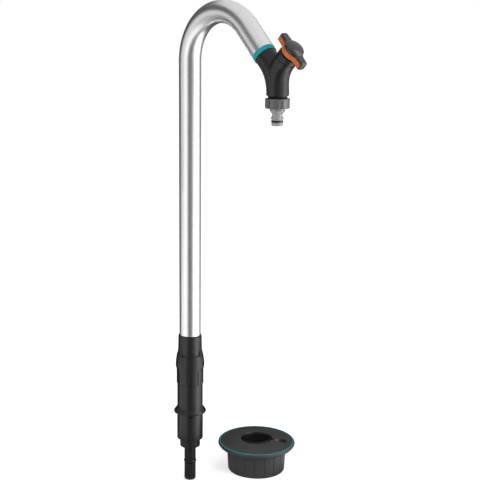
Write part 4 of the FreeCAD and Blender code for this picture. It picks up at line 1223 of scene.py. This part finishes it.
finish_piece(knob_base(), BLACK, "knob", "black_plastic", "knob_base")

# %% [markdown]
# The inlays are two strips of a second colour, one along each flank. A full band would show at the
# tips, where the real cap closes over them. So an inlay's section is carried along the flank and
# squashed to its middle near its ends, which rounds them.

# %% Knob inlays
ACCENT_HEIGHT = 6.5
ACCENT_DEPTH = 1.8
ACCENT_CORNER = 2.4
ACCENT_REACH = HALF_SPAN - 2.1
HALF_TURNS = (0.0, np.pi)


def outline_turn(along):
    """Angle at which the knob's outline has a given distance along the wings."""
    turn = np.linspace(0, 1.2, 4000)
    place = knob_outline(turn, 0.0) * np.cos(turn)
    return np.interp(along, place[::-1], turn[::-1])


def flank_points(turn, loop_inset, loop_height):
    """Grid of points at matching angles, insets and heights on the knob's outline."""
    columns = [knob_outline(turn[:, k], inset) for k, inset in enumerate(loop_inset)]
    radius = np.stack(columns, 1)
    return np.stack([radius * np.cos(turn), radius * np.sin(turn), loop_height], -1)


def on_both_sides(name, part, turn, inset, height):
    """The same skin twice, half a turn apart round the stem, joined as one object."""
    halves = []
    for number, half_turn in enumerate(HALF_TURNS):
        points = flank_points(turn + half_turn, inset, height)
        halves.append(skin(f"{part}_{number}", on_stem(points), close_rows=False))
    return joined(name, halves)


def knob_accent():
    """Two inlays with rounded ends, each one section carried along a flank of the knob.

    Within a corner's length of an end the section's height shrinks along a quarter circle.
    """
    section = np.array(
        [
            (ACCENT_DEPTH, 0.0),
            (0.4, 0.0),
            (0.1, 0.12),
            (0.0, 0.45),
            (0.0, ACCENT_HEIGHT - 0.5),
            (0.12, ACCENT_HEIGHT - 0.15),
            (0.45, ACCENT_HEIGHT),
            (ACCENT_DEPTH, ACCENT_HEIGHT),
        ]
    )
    inset, height = section.T
    first = outline_turn(ACCENT_REACH)
    near_end = np.linspace(0, 0.1, 14)[:-1]
    middle = np.linspace(0.1, np.pi / 2 - first, 110)
    half = first + np.concatenate([near_end, middle])
    turn = np.concatenate([half, np.pi - half[-2::-1]])
    along = np.abs(knob_outline(turn, 0.0) * np.cos(turn))
    past = np.clip(along - ACCENT_REACH + ACCENT_CORNER, 0, ACCENT_CORNER)
    squash = 1 - 2 * (ACCENT_CORNER - np.sqrt(ACCENT_CORNER**2 - past**2)) / ACCENT_HEIGHT
    middle_height = ACCENT_HEIGHT / 2
    heights = FLANGE_TOP + middle_height + (height - middle_height) * squash[:, None]
    turns = np.repeat(turn[:, None], len(inset), 1)
    return on_both_sides("knob_accent_skin", "inlay", turns, inset, heights)


finish_piece(knob_accent(), ORANGE, "knob", "orange_plastic", "knob_accent")

# %% [markdown]
# The grey cap lies on top of the core, closes over the wings' tips, and carries a domed boss. It is
# made as three skins, because each follows another rule: the wings are a stack with a rounded
# edge, standing on a thin dark gap above the inlays, the boss is turned, and a tip's wall ends at
# the room that is left round the inlays, so the angle at which it ends changes with the height.

# %% Knob cap
CAP_GAP = 0.5
CAP_LOW = FLANGE_TOP + ACCENT_HEIGHT
CAP_BOSS_RADIUS = 13.65
TIP_WALL_INSET = 0.24
TIP_WALL_TOP = 8.1


def knob_cap_wings():
    """Grey wings of the cap, standing on a thin dark gap above the inlays."""
    layers = [
        (1.9, CAP_LOW - 0.3),
        (1.9, CAP_LOW + 0.5),
        (1.0, CAP_LOW + 0.5),
        (0.5, CAP_LOW + 0.62),
        (0.25, CAP_LOW + 0.95),
        (0.25, CAP_LOW + 1.7),
        (0.5, CAP_LOW + 2.5),
        (1.05, CAP_LOW + 3.0),
        (1.8, CAP_LOW + 3.3),
        (2.8, CAP_LOW + 3.38),
        (4.2, CAP_LOW + 3.4),
    ]
    return knob_stack("knob_cap_wings_skin", layers)


def knob_cap_boss():
    """Domed boss of the cap with a turned step and two fine rings."""
    outline = rounded(
        [
            (0.0, CAP_LOW + 1.0, 0.0),
            (CAP_BOSS_RADIUS, CAP_LOW + 1.0, 0.2),
            (CAP_BOSS_RADIUS, CAP_LOW + 4.1, 1.6),
            (11.9, CAP_LOW + 5.6, 0.8),
            (11.4, CAP_LOW + 5.65, 0.15),
            (11.1, CAP_LOW + 5.4, 0.15),
            (10.7, CAP_LOW + 5.7, 0.2),
            (7.5, CAP_LOW + 6.45, 6.0),
            (0.0, CAP_LOW + 7.1, 0.0),
        ],
        close=False,
    )
    grid = lathe(refined(outline, 1.0, False), even_angles(144))
    return skin("knob_cap_boss_skin", on_stem(grid), close_rows=False)


def knob_cap_tips():
    """Walls of the cap that close over the wings' tips, down to the dark flange.

    At each height the wall ends a gap away from the inlay's rounded end, on a circle round the
    same centre.
    """
    wall = np.linspace(0.6, TIP_WALL_TOP - 0.1, 13)
    inset = np.concatenate([[CORE_INSET, 0.5], np.full(14, TIP_WALL_INSET), [0.9, CORE_INSET]])
    height = np.concatenate([[0.0, 0.0, 0.25], wall, [TIP_WALL_TOP, TIP_WALL_TOP]])
    room = np.clip(np.abs(height - ACCENT_HEIGHT / 2) - ACCENT_HEIGHT / 2 + ACCENT_CORNER, 0, None)
    corner = ACCENT_CORNER + CAP_GAP
    room = np.minimum(room, corner)
    end = ACCENT_REACH + CAP_GAP - corner + np.sqrt(corner**2 - room**2)
    turn = np.linspace(-1, 1, 81)[:, None] * outline_turn(end)
    heights = np.broadcast_to(FLANGE_TOP + height, turn.shape)
    return on_both_sides("knob_cap_tips_skin", "tip", turn, inset, heights)


finish_piece(knob_cap_wings(), CAP_GREY, "knob", "dark_grey_plastic", "knob_cap")
finish_piece(knob_cap_boss(), CAP_GREY, "knob", "dark_grey_plastic")
finish_piece(knob_cap_tips(), CAP_GREY, "knob", "dark_grey_plastic")

# %% [markdown]
# ## The hose connector
# The nut has six broad lobes with grooves between them, which fade in below its rim. Below it a
# shoulder, a taper and a neck lead to the nose with its O-ring, the standard shape of a click-fit
# hose fitting. Both are spun from one section each, and the grooves are pressed in like the grip
# nut's, so the lobes keep soft sides. They are two skins because the nut takes a darker copy of
# the same grey plastic, which is painted shade.

# %% Connector nut
LOBE_COUNT = 6
LOBE_AZIMUTH = -26.5
GROOVE_DEPTH = 1.7
NUT_TOP = OUTLET_END - 4.0
NUT_LOW = NUT_TOP - 13.0
NUT_FLOOR = NECK_END - 2.0
NUT_RADIUS = 16.4
NUT_THREAD_RADIUS = 13.5
NUT_FLOOR_BORE = 9.0


def lobe_shape(turn, radius, height):
    """Presses six grooves into the nut's side, leaving broad lobes.

    The depth falls with a smooth step of the arc length from a groove's middle, and fades
    towards the thread and the rim.
    """
    across = nearest_turn(turn, LOBE_AZIMUTH, LOBE_COUNT) * radius
    groove = smooth_step(1 - np.abs(across) / 2.3)
    side = smooth_step((radius - 13.8) / 1.2)
    height_fade = smooth_step((OUTLET_END - 5.4 - height) / 1.6)
    return radius - GROOVE_DEPTH * groove * side * height_fade


def connector_nut():
    """Lobed nut round the threaded neck."""
    outline = rounded(
        [
            (NUT_THREAD_RADIUS, NUT_TOP, 0.2),
            (NUT_RADIUS, NUT_TOP, 0.9),
            (NUT_RADIUS, NUT_LOW, 1.5),
            (NUT_FLOOR_BORE, NUT_LOW, 0.1),
            (NUT_FLOOR_BORE, NUT_FLOOR, 0.1),
            (NUT_THREAD_RADIUS, NUT_FLOOR, 0.2),
        ]
    )
    return turned("connector_nut_skin", refined(outline, 0.8), 240, at_outlet, lobe_shape)


# The nut's darker copy of the connector's grey is painted shade.
finish_piece(connector_nut(), CONNECTOR_GREY_PAINTED_SHADE, "connector", "silver_grey_plastic", "hose_connector")

# %% [markdown]
# The nose is measured downwards from the nut: each land and groove starts where the one above
# it ends, so a change to one length moves all that hangs below it, as on the real fitting.

# %% Connector nose
FITTING_NECK_RADIUS = 6.8
FLANGE_RADIUS = 8.4
HOSE_NOSE_RADIUS = 7.5
RING_GROOVE_RADIUS = 5.8
HOSE_BORE = 4.2


def connector_nose():
    """Shoulder, neck, flange and nose with its groove, turned in one."""
    shoulder = NUT_LOW - 4.0
    neck = shoulder - 3.0
    flange = neck - 4.6
    land = flange - 2.0
    groove = land - 2.2
    groove_low = groove - 2.8
    tip = groove_low - 4.4
    outline = rounded(
        [
            (9.9, NUT_LOW + 1.0, 0.1),
            (9.9, NUT_LOW, 0.2),
            (9.7, shoulder, 0.4),
            (FITTING_NECK_RADIUS, neck, 0.5),
            (FITTING_NECK_RADIUS, flange, 0.3),
            (FLANGE_RADIUS, flange, 0.5),
            (FLANGE_RADIUS, land, 0.4),
            (HOSE_NOSE_RADIUS, land, 0.2),
            (HOSE_NOSE_RADIUS, groove, 0.2),
            (RING_GROOVE_RADIUS, groove, 0.1),
            (RING_GROOVE_RADIUS, groove_low, 0.1),
            (HOSE_NOSE_RADIUS, groove_low, 0.2),
            (HOSE_NOSE_RADIUS, tip, 0.9),
            (HOSE_BORE, tip, 0.4),
            (HOSE_BORE, NUT_LOW + 1.0, 0.1),
        ]
    )
    return turned("connector_nose_skin", refined(outline, 0.8), 144, at_outlet)


finish_piece(connector_nose(), SILVER_GREY, "connector", "silver_grey_plastic")

# %% [markdown]
# ## The ground collar
# The collar is a tapered skirt under a wide rim, with a thin coloured ring let into the rim, a
# domed cover and a smooth bore for the foot. The skirt's upright lines are narrow grooves at even
# angles. A mesh dense enough for them everywhere would be wasteful, so the columns of its grid
# bunch up at each line, and a groove under a millimetre wide stays crisp.

# %% Collar housing
LINE_COUNT = 18
LINE_AZIMUTH = -47.0
SKIRT_LINE_DEPTH = 0.6
SKIRT_MIDDLE_RADIUS = 45.5
RIM_UNDERSIDE = 39.0
RING_INNER = 57.0
RING_OUTER = 58.8
RING_SEAT = 44.5
COVER_SEAT = 43.8
HUB_RADIUS = 24.4
HUB_BORE = 21.8
HUB_LOW = 8.0


def angles_with_lines(centres, offsets, between):
    """Angles that bunch up round given centres, with even spacing between them."""
    fine = (centres[:, None] + offsets[None, :]).ravel()
    coarse = even_angles(between)
    gap = np.abs((coarse[:, None] - centres[None, :] + np.pi) % (2 * np.pi) - np.pi).min(1)
    coarse = coarse[gap > np.abs(offsets).max() * 1.2]
    return np.unique(np.round(np.concatenate([fine, coarse]) % (2 * np.pi), 9))


def skirt_shape(turn, radius, height):
    """Presses the skirt's upright lines: a smooth step of the arc length from the nearest one."""
    across = nearest_turn(turn, LINE_AZIMUTH, LINE_COUNT) * radius
    line = smooth_step(1.4 - np.abs(across) / 0.45)
    skirt = (radius > 43.0) & (radius < 47.3) & (height < RIM_UNDERSIDE - 0.1)
    fade = smooth_step((RIM_UNDERSIDE - 2.1 - height) / 0.8)
    return radius - SKIRT_LINE_DEPTH * line * skirt * fade


def collar_housing():
    """Skirt, rim, deck and hub, open underneath."""
    outline = rounded(
        [
            (41.4, 0.0, 0.6),
            (44.4, 0.0, 1.0),
            (47.0, RIM_UNDERSIDE, 1.2),
            (58.0, RIM_UNDERSIDE, 2.0),
            (60.7, 42.4, 2.6),
            (60.3, 45.4, 1.6),
            (RING_OUTER, 46.0, 0.3),
            (RING_OUTER, RING_SEAT, 0.1),
            (RING_INNER, RING_SEAT, 0.1),
            (RING_INNER, COVER_SEAT, 0.1),
            (54.0, COVER_SEAT, 0.1),
            (54.0, 42.0, 0.3),
            (44.0, 42.0, 0.2),
            (44.0, 38.0, 0.3),
            (HUB_BORE, 38.0, 0.2),
            (HUB_BORE, HUB_LOW, 0.3),
            (HUB_RADIUS, HUB_LOW, 0.6),
            (HUB_RADIUS, 35.0, 0.8),
            (43.9, 35.0, 1.0),
        ]
    )
    centres = np.radians(LINE_AZIMUTH) + even_angles(LINE_COUNT)
    half_offsets = np.array([0.25, 0.45, 0.62, 0.9])
    offsets = np.concatenate([-half_offsets[::-1], [0.0], half_offsets]) / SKIRT_MIDDLE_RADIUS
    angles = angles_with_lines(centres, offsets, 144)
    grid = lathe(refined(outline, 3.0), angles, skirt_shape)
    return skin("collar_housing_skin", at_collar(grid))


finish_piece(collar_housing(), COLLAR_BLACK, "ground_collar", "black_plastic", "collar_housing")

# %% [markdown]
# The cover is a shallow dome whose inner edge rolls over round the bore. A circle arc would keep
# its slope too long, so its height follows a power curve, which is steeper at the rim and nearly
# level at the bore. The slider's slot is cut through it afterwards.

# %% Collar cover
SLIDER_AZIMUTH = 36.0
COVER_RADIUS = 57.0
COVER_RISE = 4.6
BLOCK_COLUMNS = 64


def radial_block(name, inner, outer, half_width, low, high, corner):
    """Upright block with rounded plan corners along the slider's azimuth, in the collar's place.

    Its plan is a circle whose four quarters are pushed apart by half the length and the width.
    """
    half_length = (outer - inner) / 2
    angles = even_angles(BLOCK_COLUMNS)
    cos, sin = np.cos(angles), np.sin(angles)
    x = np.sign(cos) * (half_length - corner) + corner * cos + (inner + outer) / 2
    y = np.sign(sin) * (half_width - corner) + corner * sin
    plan = np.stack([x, y], -1)
    turn = np.radians(SLIDER_AZIMUTH)
    spin = np.array([[np.cos(turn), -np.sin(turn)], [np.sin(turn), np.cos(turn)]])
    plan = plan @ spin.T
    rows = [np.column_stack([plan, np.full(BLOCK_COLUMNS, z)]) for z in (low, high)]
    return skin(name, at_collar(np.stack(rows)), close_rows=False)


def collar_cover():
    """Domed cover with a rolled inner edge, slotted for the slider.

    At a share s of the way in, the dome has risen by its full rise x (1 - (1 - s)^1.55).
    """
    share = np.linspace(0, 1, 24)
    dome_radius = COVER_RADIUS - (COVER_RADIUS - 26.4) * share
    dome_height = 46.0 + COVER_RISE * (1 - (1 - share) ** 1.55)
    dome = np.stack([dome_radius, dome_height], -1)
    rest = rounded(
        [
            (26.2, 50.6, 0.0),
            (24.1, 50.55, 1.4),
            (24.1, 40.0, 0.3),
            (26.3, 40.0, 0.3),
            (26.3, 47.8, 0.5),
            (40.0, 46.4, 3.0),
            (54.0, 43.9, 0.2),
            (COVER_RADIUS, 43.85, 0.1),
            (COVER_RADIUS, 45.9, 0.0),
        ],
        close=False,
    )
    cover = turned("collar_cover_skin", np.concatenate([dome, rest]), 144, at_collar)
    cut_away(cover, radial_block("slot_cutter", 20.0, 47.5, 4.6, 30.0, 60.0, 1.0))
    return cover


finish_piece(collar_cover(), COLLAR_BLACK, "ground_collar", "black_plastic", "collar_cover")

# %% [markdown]
# Three rings finish the collar: the coloured one sits in a groove of the rim and stands slightly
# proud, the sleeve lines the bore, and a rubber lip at its mouth keeps dirt out. The sleeve has
# one small hole for the slider's tongue, which is drilled after it is turned.

# %% Trim ring, sleeve and seal
SLEEVE_BORE = 20.1
SLEEVE_TOP = 49.5
RING_TOP = 46.35
TONGUE_HEIGHT = 47.6
TONGUE_HOLE_RADIUS = 1.5


def collar_trim_ring():
    """Thin coloured ring with rounded top edges."""
    outline = rounded(
        [
            (RING_INNER, RING_SEAT, 0.1),
            (RING_OUTER, RING_SEAT, 0.1),
            (RING_OUTER, RING_TOP, 0.5),
            (RING_INNER, RING_TOP, 0.5),
        ]
    )
    return turned("collar_trim_ring_skin", outline, 192, at_collar)


def guide_sleeve():
    """Smooth sleeve that takes the foot."""
    outline = rounded(
        [
            (SLEEVE_BORE, 4.0, 0.5),
            (HUB_BORE, 4.0, 0.3),
            (HUB_BORE, SLEEVE_TOP, 0.1),
            (SLEEVE_BORE, SLEEVE_TOP, 0.1),
        ]
    )
    sleeve = turned("guide_sleeve_skin", outline, 128, at_collar)
    out = outward(SLIDER_AZIMUTH)
    level = COLLAR + TONGUE_HEIGHT * UP
    cut_away(sleeve, bar("port_cutter", level + out * 17, level + out * 25, TONGUE_HOLE_RADIUS))
    return sleeve


def dirt_seal():
    """Rubber lip round the mouth of the bore."""
    outline = rounded(
        [
            (SLEEVE_BORE, 50.1, 0.3),
            (20.4, SLEEVE_TOP, 0.2),
            (HUB_BORE, SLEEVE_TOP, 0.1),
            (HUB_BORE, 51.0, 0.5),
            (20.5, 51.0, 0.4),
        ]
    )
    return turned("dirt_seal_skin", outline, 128, at_collar)


finish_piece(collar_trim_ring(), TEAL, "ground_collar", "teal_plastic", "collar_trim_ring")
finish_piece(guide_sleeve(), BLACK, "ground_collar", "black_plastic", "guide_sleeve")
finish_piece(dirt_seal(), RUBBER, "ground_collar", "rubber", "dirt_seal")

# %% [markdown]
# ## Finishes for the pieces that stay as they are
# The seals, the slider and the hidden parts are plain enough that their CAD shapes are right. They
# keep them, and only get a material.

# %% Carried-over CAD nodes
CARRIED = {
    "plug_oring": RUBBER,
    "spigot_orings": RUBBER,
    "clamp_collet": PALE_PLASTIC,
    "inlet_orings": RUBBER,
    "seat_seal": RUBBER,
    "bonnet_oring": RUBBER,
    "valve_rotor": PALE_PLASTIC,
    "valve_stem": BRASS,
    "stem_orings": RUBBER,
    "knob_screw": STEEL,
    "outlet_washer": RUBBER,
    "connector_oring": RUBBER,
    "cover_screws": STEEL,
    "lock_slider": SLIDER_GREY,
    "lock_mark": MARK_RED,
}
for node_name, material in CARRIED.items():
    nodes[node_name].data.materials.clear()
    nodes[node_name].data.materials.append(material)
print("carried over", len(CARRIED))

# %% [markdown]
# ## A white studio
# The tap stands on plain white. More light would wash the object out, so the white comes from what
# each ray is: the world and the floor are white for the camera, a little less for reflections, and
# a soft fill for everything else. The floor still keeps the object's shadow.

# %% World and floor
FILL = 0.55
GLOSS_SHARE = 0.6
FLOOR_SIZE = 60.0
FLOOR_COLOUR = 0.9
FLOOR_WHITE = 1.02


def seen_rays(tree):
    """One for the camera's rays, a share of it for reflections, and nought for diffuse light."""
    path = tree.nodes.new("ShaderNodeLightPath")
    glossy = math_node(tree, "MULTIPLY", path.outputs["Is Glossy Ray"], GLOSS_SHARE)
    seen = math_node(tree, "MAXIMUM", path.outputs["Is Camera Ray"], glossy)
    return math_node(tree, "MAXIMUM", seen, path.outputs["Is Transmission Ray"])


def white_world():
    """White for the camera, a little under white for reflections, and a soft fill for the rest."""
    world = bpy.data.worlds.new("studio")
    world.use_nodes = True
    tree = world.node_tree
    background = tree.nodes["Background"]
    extra = math_node(tree, "MULTIPLY", seen_rays(tree), 1.0 - FILL)
    strength = math_node(tree, "ADD", extra, FILL)
    background.inputs["Color"].default_value = (1, 1, 1, 1)
    link(tree, strength, background.inputs["Strength"])
    bpy.context.scene.world = world


def floor_plane():
    """Large pale floor, lifted to white for the camera and near it for reflections."""
    points = FLOOR_SIZE * np.array([[-1.0, -1, 0], [1, -1, 0], [1, 1, 0], [-1, 1, 0]])
    made = make_object("floor", points, np.array([[0, 1, 2, 3]]))
    material, tree, shader = start_material("pale_floor")
    shader.inputs["Base Color"].default_value = (FLOOR_COLOUR, FLOOR_COLOUR, FLOOR_COLOUR, 1)
    shader.inputs["Roughness"].default_value = 0.9
    shader.inputs["Specular IOR Level"].default_value = 0.0
    shader.inputs["Emission Color"].default_value = (1, 1, 1, 1)
    lift = math_node(tree, "MULTIPLY", seen_rays(tree), FLOOR_WHITE - FLOOR_COLOUR * FILL)
    link(tree, lift, shader.inputs["Emission Strength"])
    made.data.materials.append(material)


white_world()
floor_plane()
print("fill", FILL, "share for reflections", GLOSS_SHARE)

# %% [markdown]
# ## Lamps
# Two soft lamps model the plastics, a stronger one from the right and a weaker one from the left.
# Their own reflections would show as hard patches on the tube, so they are kept out of
# reflections.

# %% Lamps
VIEW_ANGLE = np.radians(40)
CAMERA_SIDE = np.array([np.cos(VIEW_ANGLE), -np.sin(VIEW_ANGLE), 0.0])
CAMERA_RIGHT = np.array([np.sin(VIEW_ANGLE), np.cos(VIEW_ANGLE), 0.0])
AIM = Vector((0.06, 0.03, 0.36))


def area_lamp(name, ahead, right, up, size, watts):
    """Soft lamp aimed at the object, placed along the camera's own directions."""
    lamp = bpy.data.lights.new(name, "AREA")
    lamp.shape = "RECTANGLE"
    lamp.size, lamp.size_y = size
    lamp.energy = watts
    made = bpy.data.objects.new(name, lamp)
    made.location = Vector(CAMERA_SIDE * ahead + CAMERA_RIGHT * right + UP * up)
    made.rotation_euler = (AIM - made.location).to_track_quat("-Z", "Y").to_euler()
    made.visible_glossy = False
    bpy.context.scene.collection.objects.link(made)
    print(name, tuple(made.location), watts, "watts")


area_lamp("key", 1.2, 1.3, 1.6, (1.2, 1.2), 26.0)
area_lamp("fill", 1.2, -1.6, 1.2, (1.0, 1.4), 12.0)

# %% [markdown]
# ## Cards
# Round metal shows what stands round it, so a photographer shapes its stripes with cards. A dark
# card under the camera gives the tube its dark centre stripe, one behind gives it its darker edges,
# one high on the left darkens the bend and a tilted shelf greys its inner side. A bright strip on
# the right gives the black pieces their highlight, one on the left keeps the tube's left band
# bright, and a pale card high in front and a ring on the floor shade the bend's top and the foot.
# The cards are seen by reflections only, so they neither light the object nor show beside it.

# %% Cards
CARD_COLUMNS = 24
FLOOR_CARD = 0.002


def card(name, first_angle, last_angle, level, outline):
    """Curved card round the object, from one angle to another, measured from the camera's way.

    The outline is its section: a line of distances and heights. Most cards cover the floor too,
    because reflections in the lower pieces run down to the floor before they reach the card.
    """
    turn = np.radians(np.linspace(first_angle, last_angle, CARD_COLUMNS))
    way = np.cos(turn)[:, None] * CAMERA_SIDE + np.sin(turn)[:, None] * CAMERA_RIGHT
    rows = [way * distance + UP * height for distance, height in outline]
    index = np.arange(CARD_COLUMNS - 1)
    above = index + CARD_COLUMNS
    one = np.stack([index, index + 1, above + 1, above], -1)
    faces = np.concatenate([one + CARD_COLUMNS * k for k in range(len(rows) - 1)])
    made = make_object(name, np.concatenate(rows), faces)
    material, tree, shader = start_material(name + "_paper")
    shader.inputs["Base Color"].default_value = (0, 0, 0, 1)
    shader.inputs["Specular IOR Level"].default_value = 0.0
    shader.inputs["Emission Color"].default_value = (1, 1, 1, 1)
    shader.inputs["Emission Strength"].default_value = level
    made.data.materials.append(material)
    made.visible_camera = False
    made.visible_diffuse = False
    made.visible_shadow = False
    made.visible_transmission = False


def standing(near, far, top):
    """Section of a card that runs out over the floor and then stands up."""
    return [(near, FLOOR_CARD), (far, FLOOR_CARD), (far, top)]


HIGH_UP = [(2.4, 1.04), (2.4, 2.9)]
CARDS = (
    ("front_card", -26.0, 26.0, 0.13, standing(0.06, 0.55, 1.0)),
    ("back_card", 122.0, 252.0, 0.05, standing(0.15, 0.8, 0.95)),
    ("right_strip", 54.0, 92.0, 3.4, standing(0.2, 1.2, 1.8)),
    ("left_card", -170.0, -50.0, 0.1, HIGH_UP),
    ("upper_card", -48.0, 135.0, 0.78, HIGH_UP),
    ("left_strip", -64.0, -22.0, 1.35, standing(0.3, 1.3, 0.8)),
    ("left_shelf", -115.0, -66.0, 0.5, [(0.1, 0.432), (1.2, 0.236)]),
    ("floor_ring", -180.0, 180.0, 0.25, [(0.012, 0.001), (0.17, 0.001)]),
)
for row in CARDS:
    card(*row)
print("cards", [row[0] for row in CARDS])

# %% [markdown]
# ## Camera
# The photograph was taken with a long lens from a little above the valve. The lens, height and
# distance come from the tube's taper and the ellipses of the foot. The pole stands left of the
# picture's middle without leaning, which is a lens shift and not a turn of the camera.

# %% Camera
FOCAL_PIXELS = 1100.0
PICTURE = 480.0
POLE_PIXEL = 190.05
SENSOR_WIDTH = 36.0
CAMERA_DISTANCE = 1.595
CAMERA_HEIGHT = 0.7337
PITCH = np.radians(12.5)

lens = bpy.data.cameras.new("camera")
lens.sensor_width = SENSOR_WIDTH
lens.lens = SENSOR_WIDTH * FOCAL_PIXELS / PICTURE
lens.shift_x = (PICTURE / 2 - POLE_PIXEL) / PICTURE
lens.clip_start = 0.05
lens.clip_end = 50.0
camera = bpy.data.objects.new("camera", lens)
camera.location = Vector(CAMERA_SIDE * CAMERA_DISTANCE + UP * CAMERA_HEIGHT)
looking = -CAMERA_SIDE * np.cos(PITCH) - UP * np.sin(PITCH)
camera.rotation_euler = Vector(looking).to_track_quat("-Z", "Y").to_euler()
bpy.context.scene.collection.objects.link(camera)
bpy.context.scene.camera = camera
bpy.context.scene.view_settings.view_transform = "Standard"
print("camera", tuple(camera.location), "lens", lens.lens)
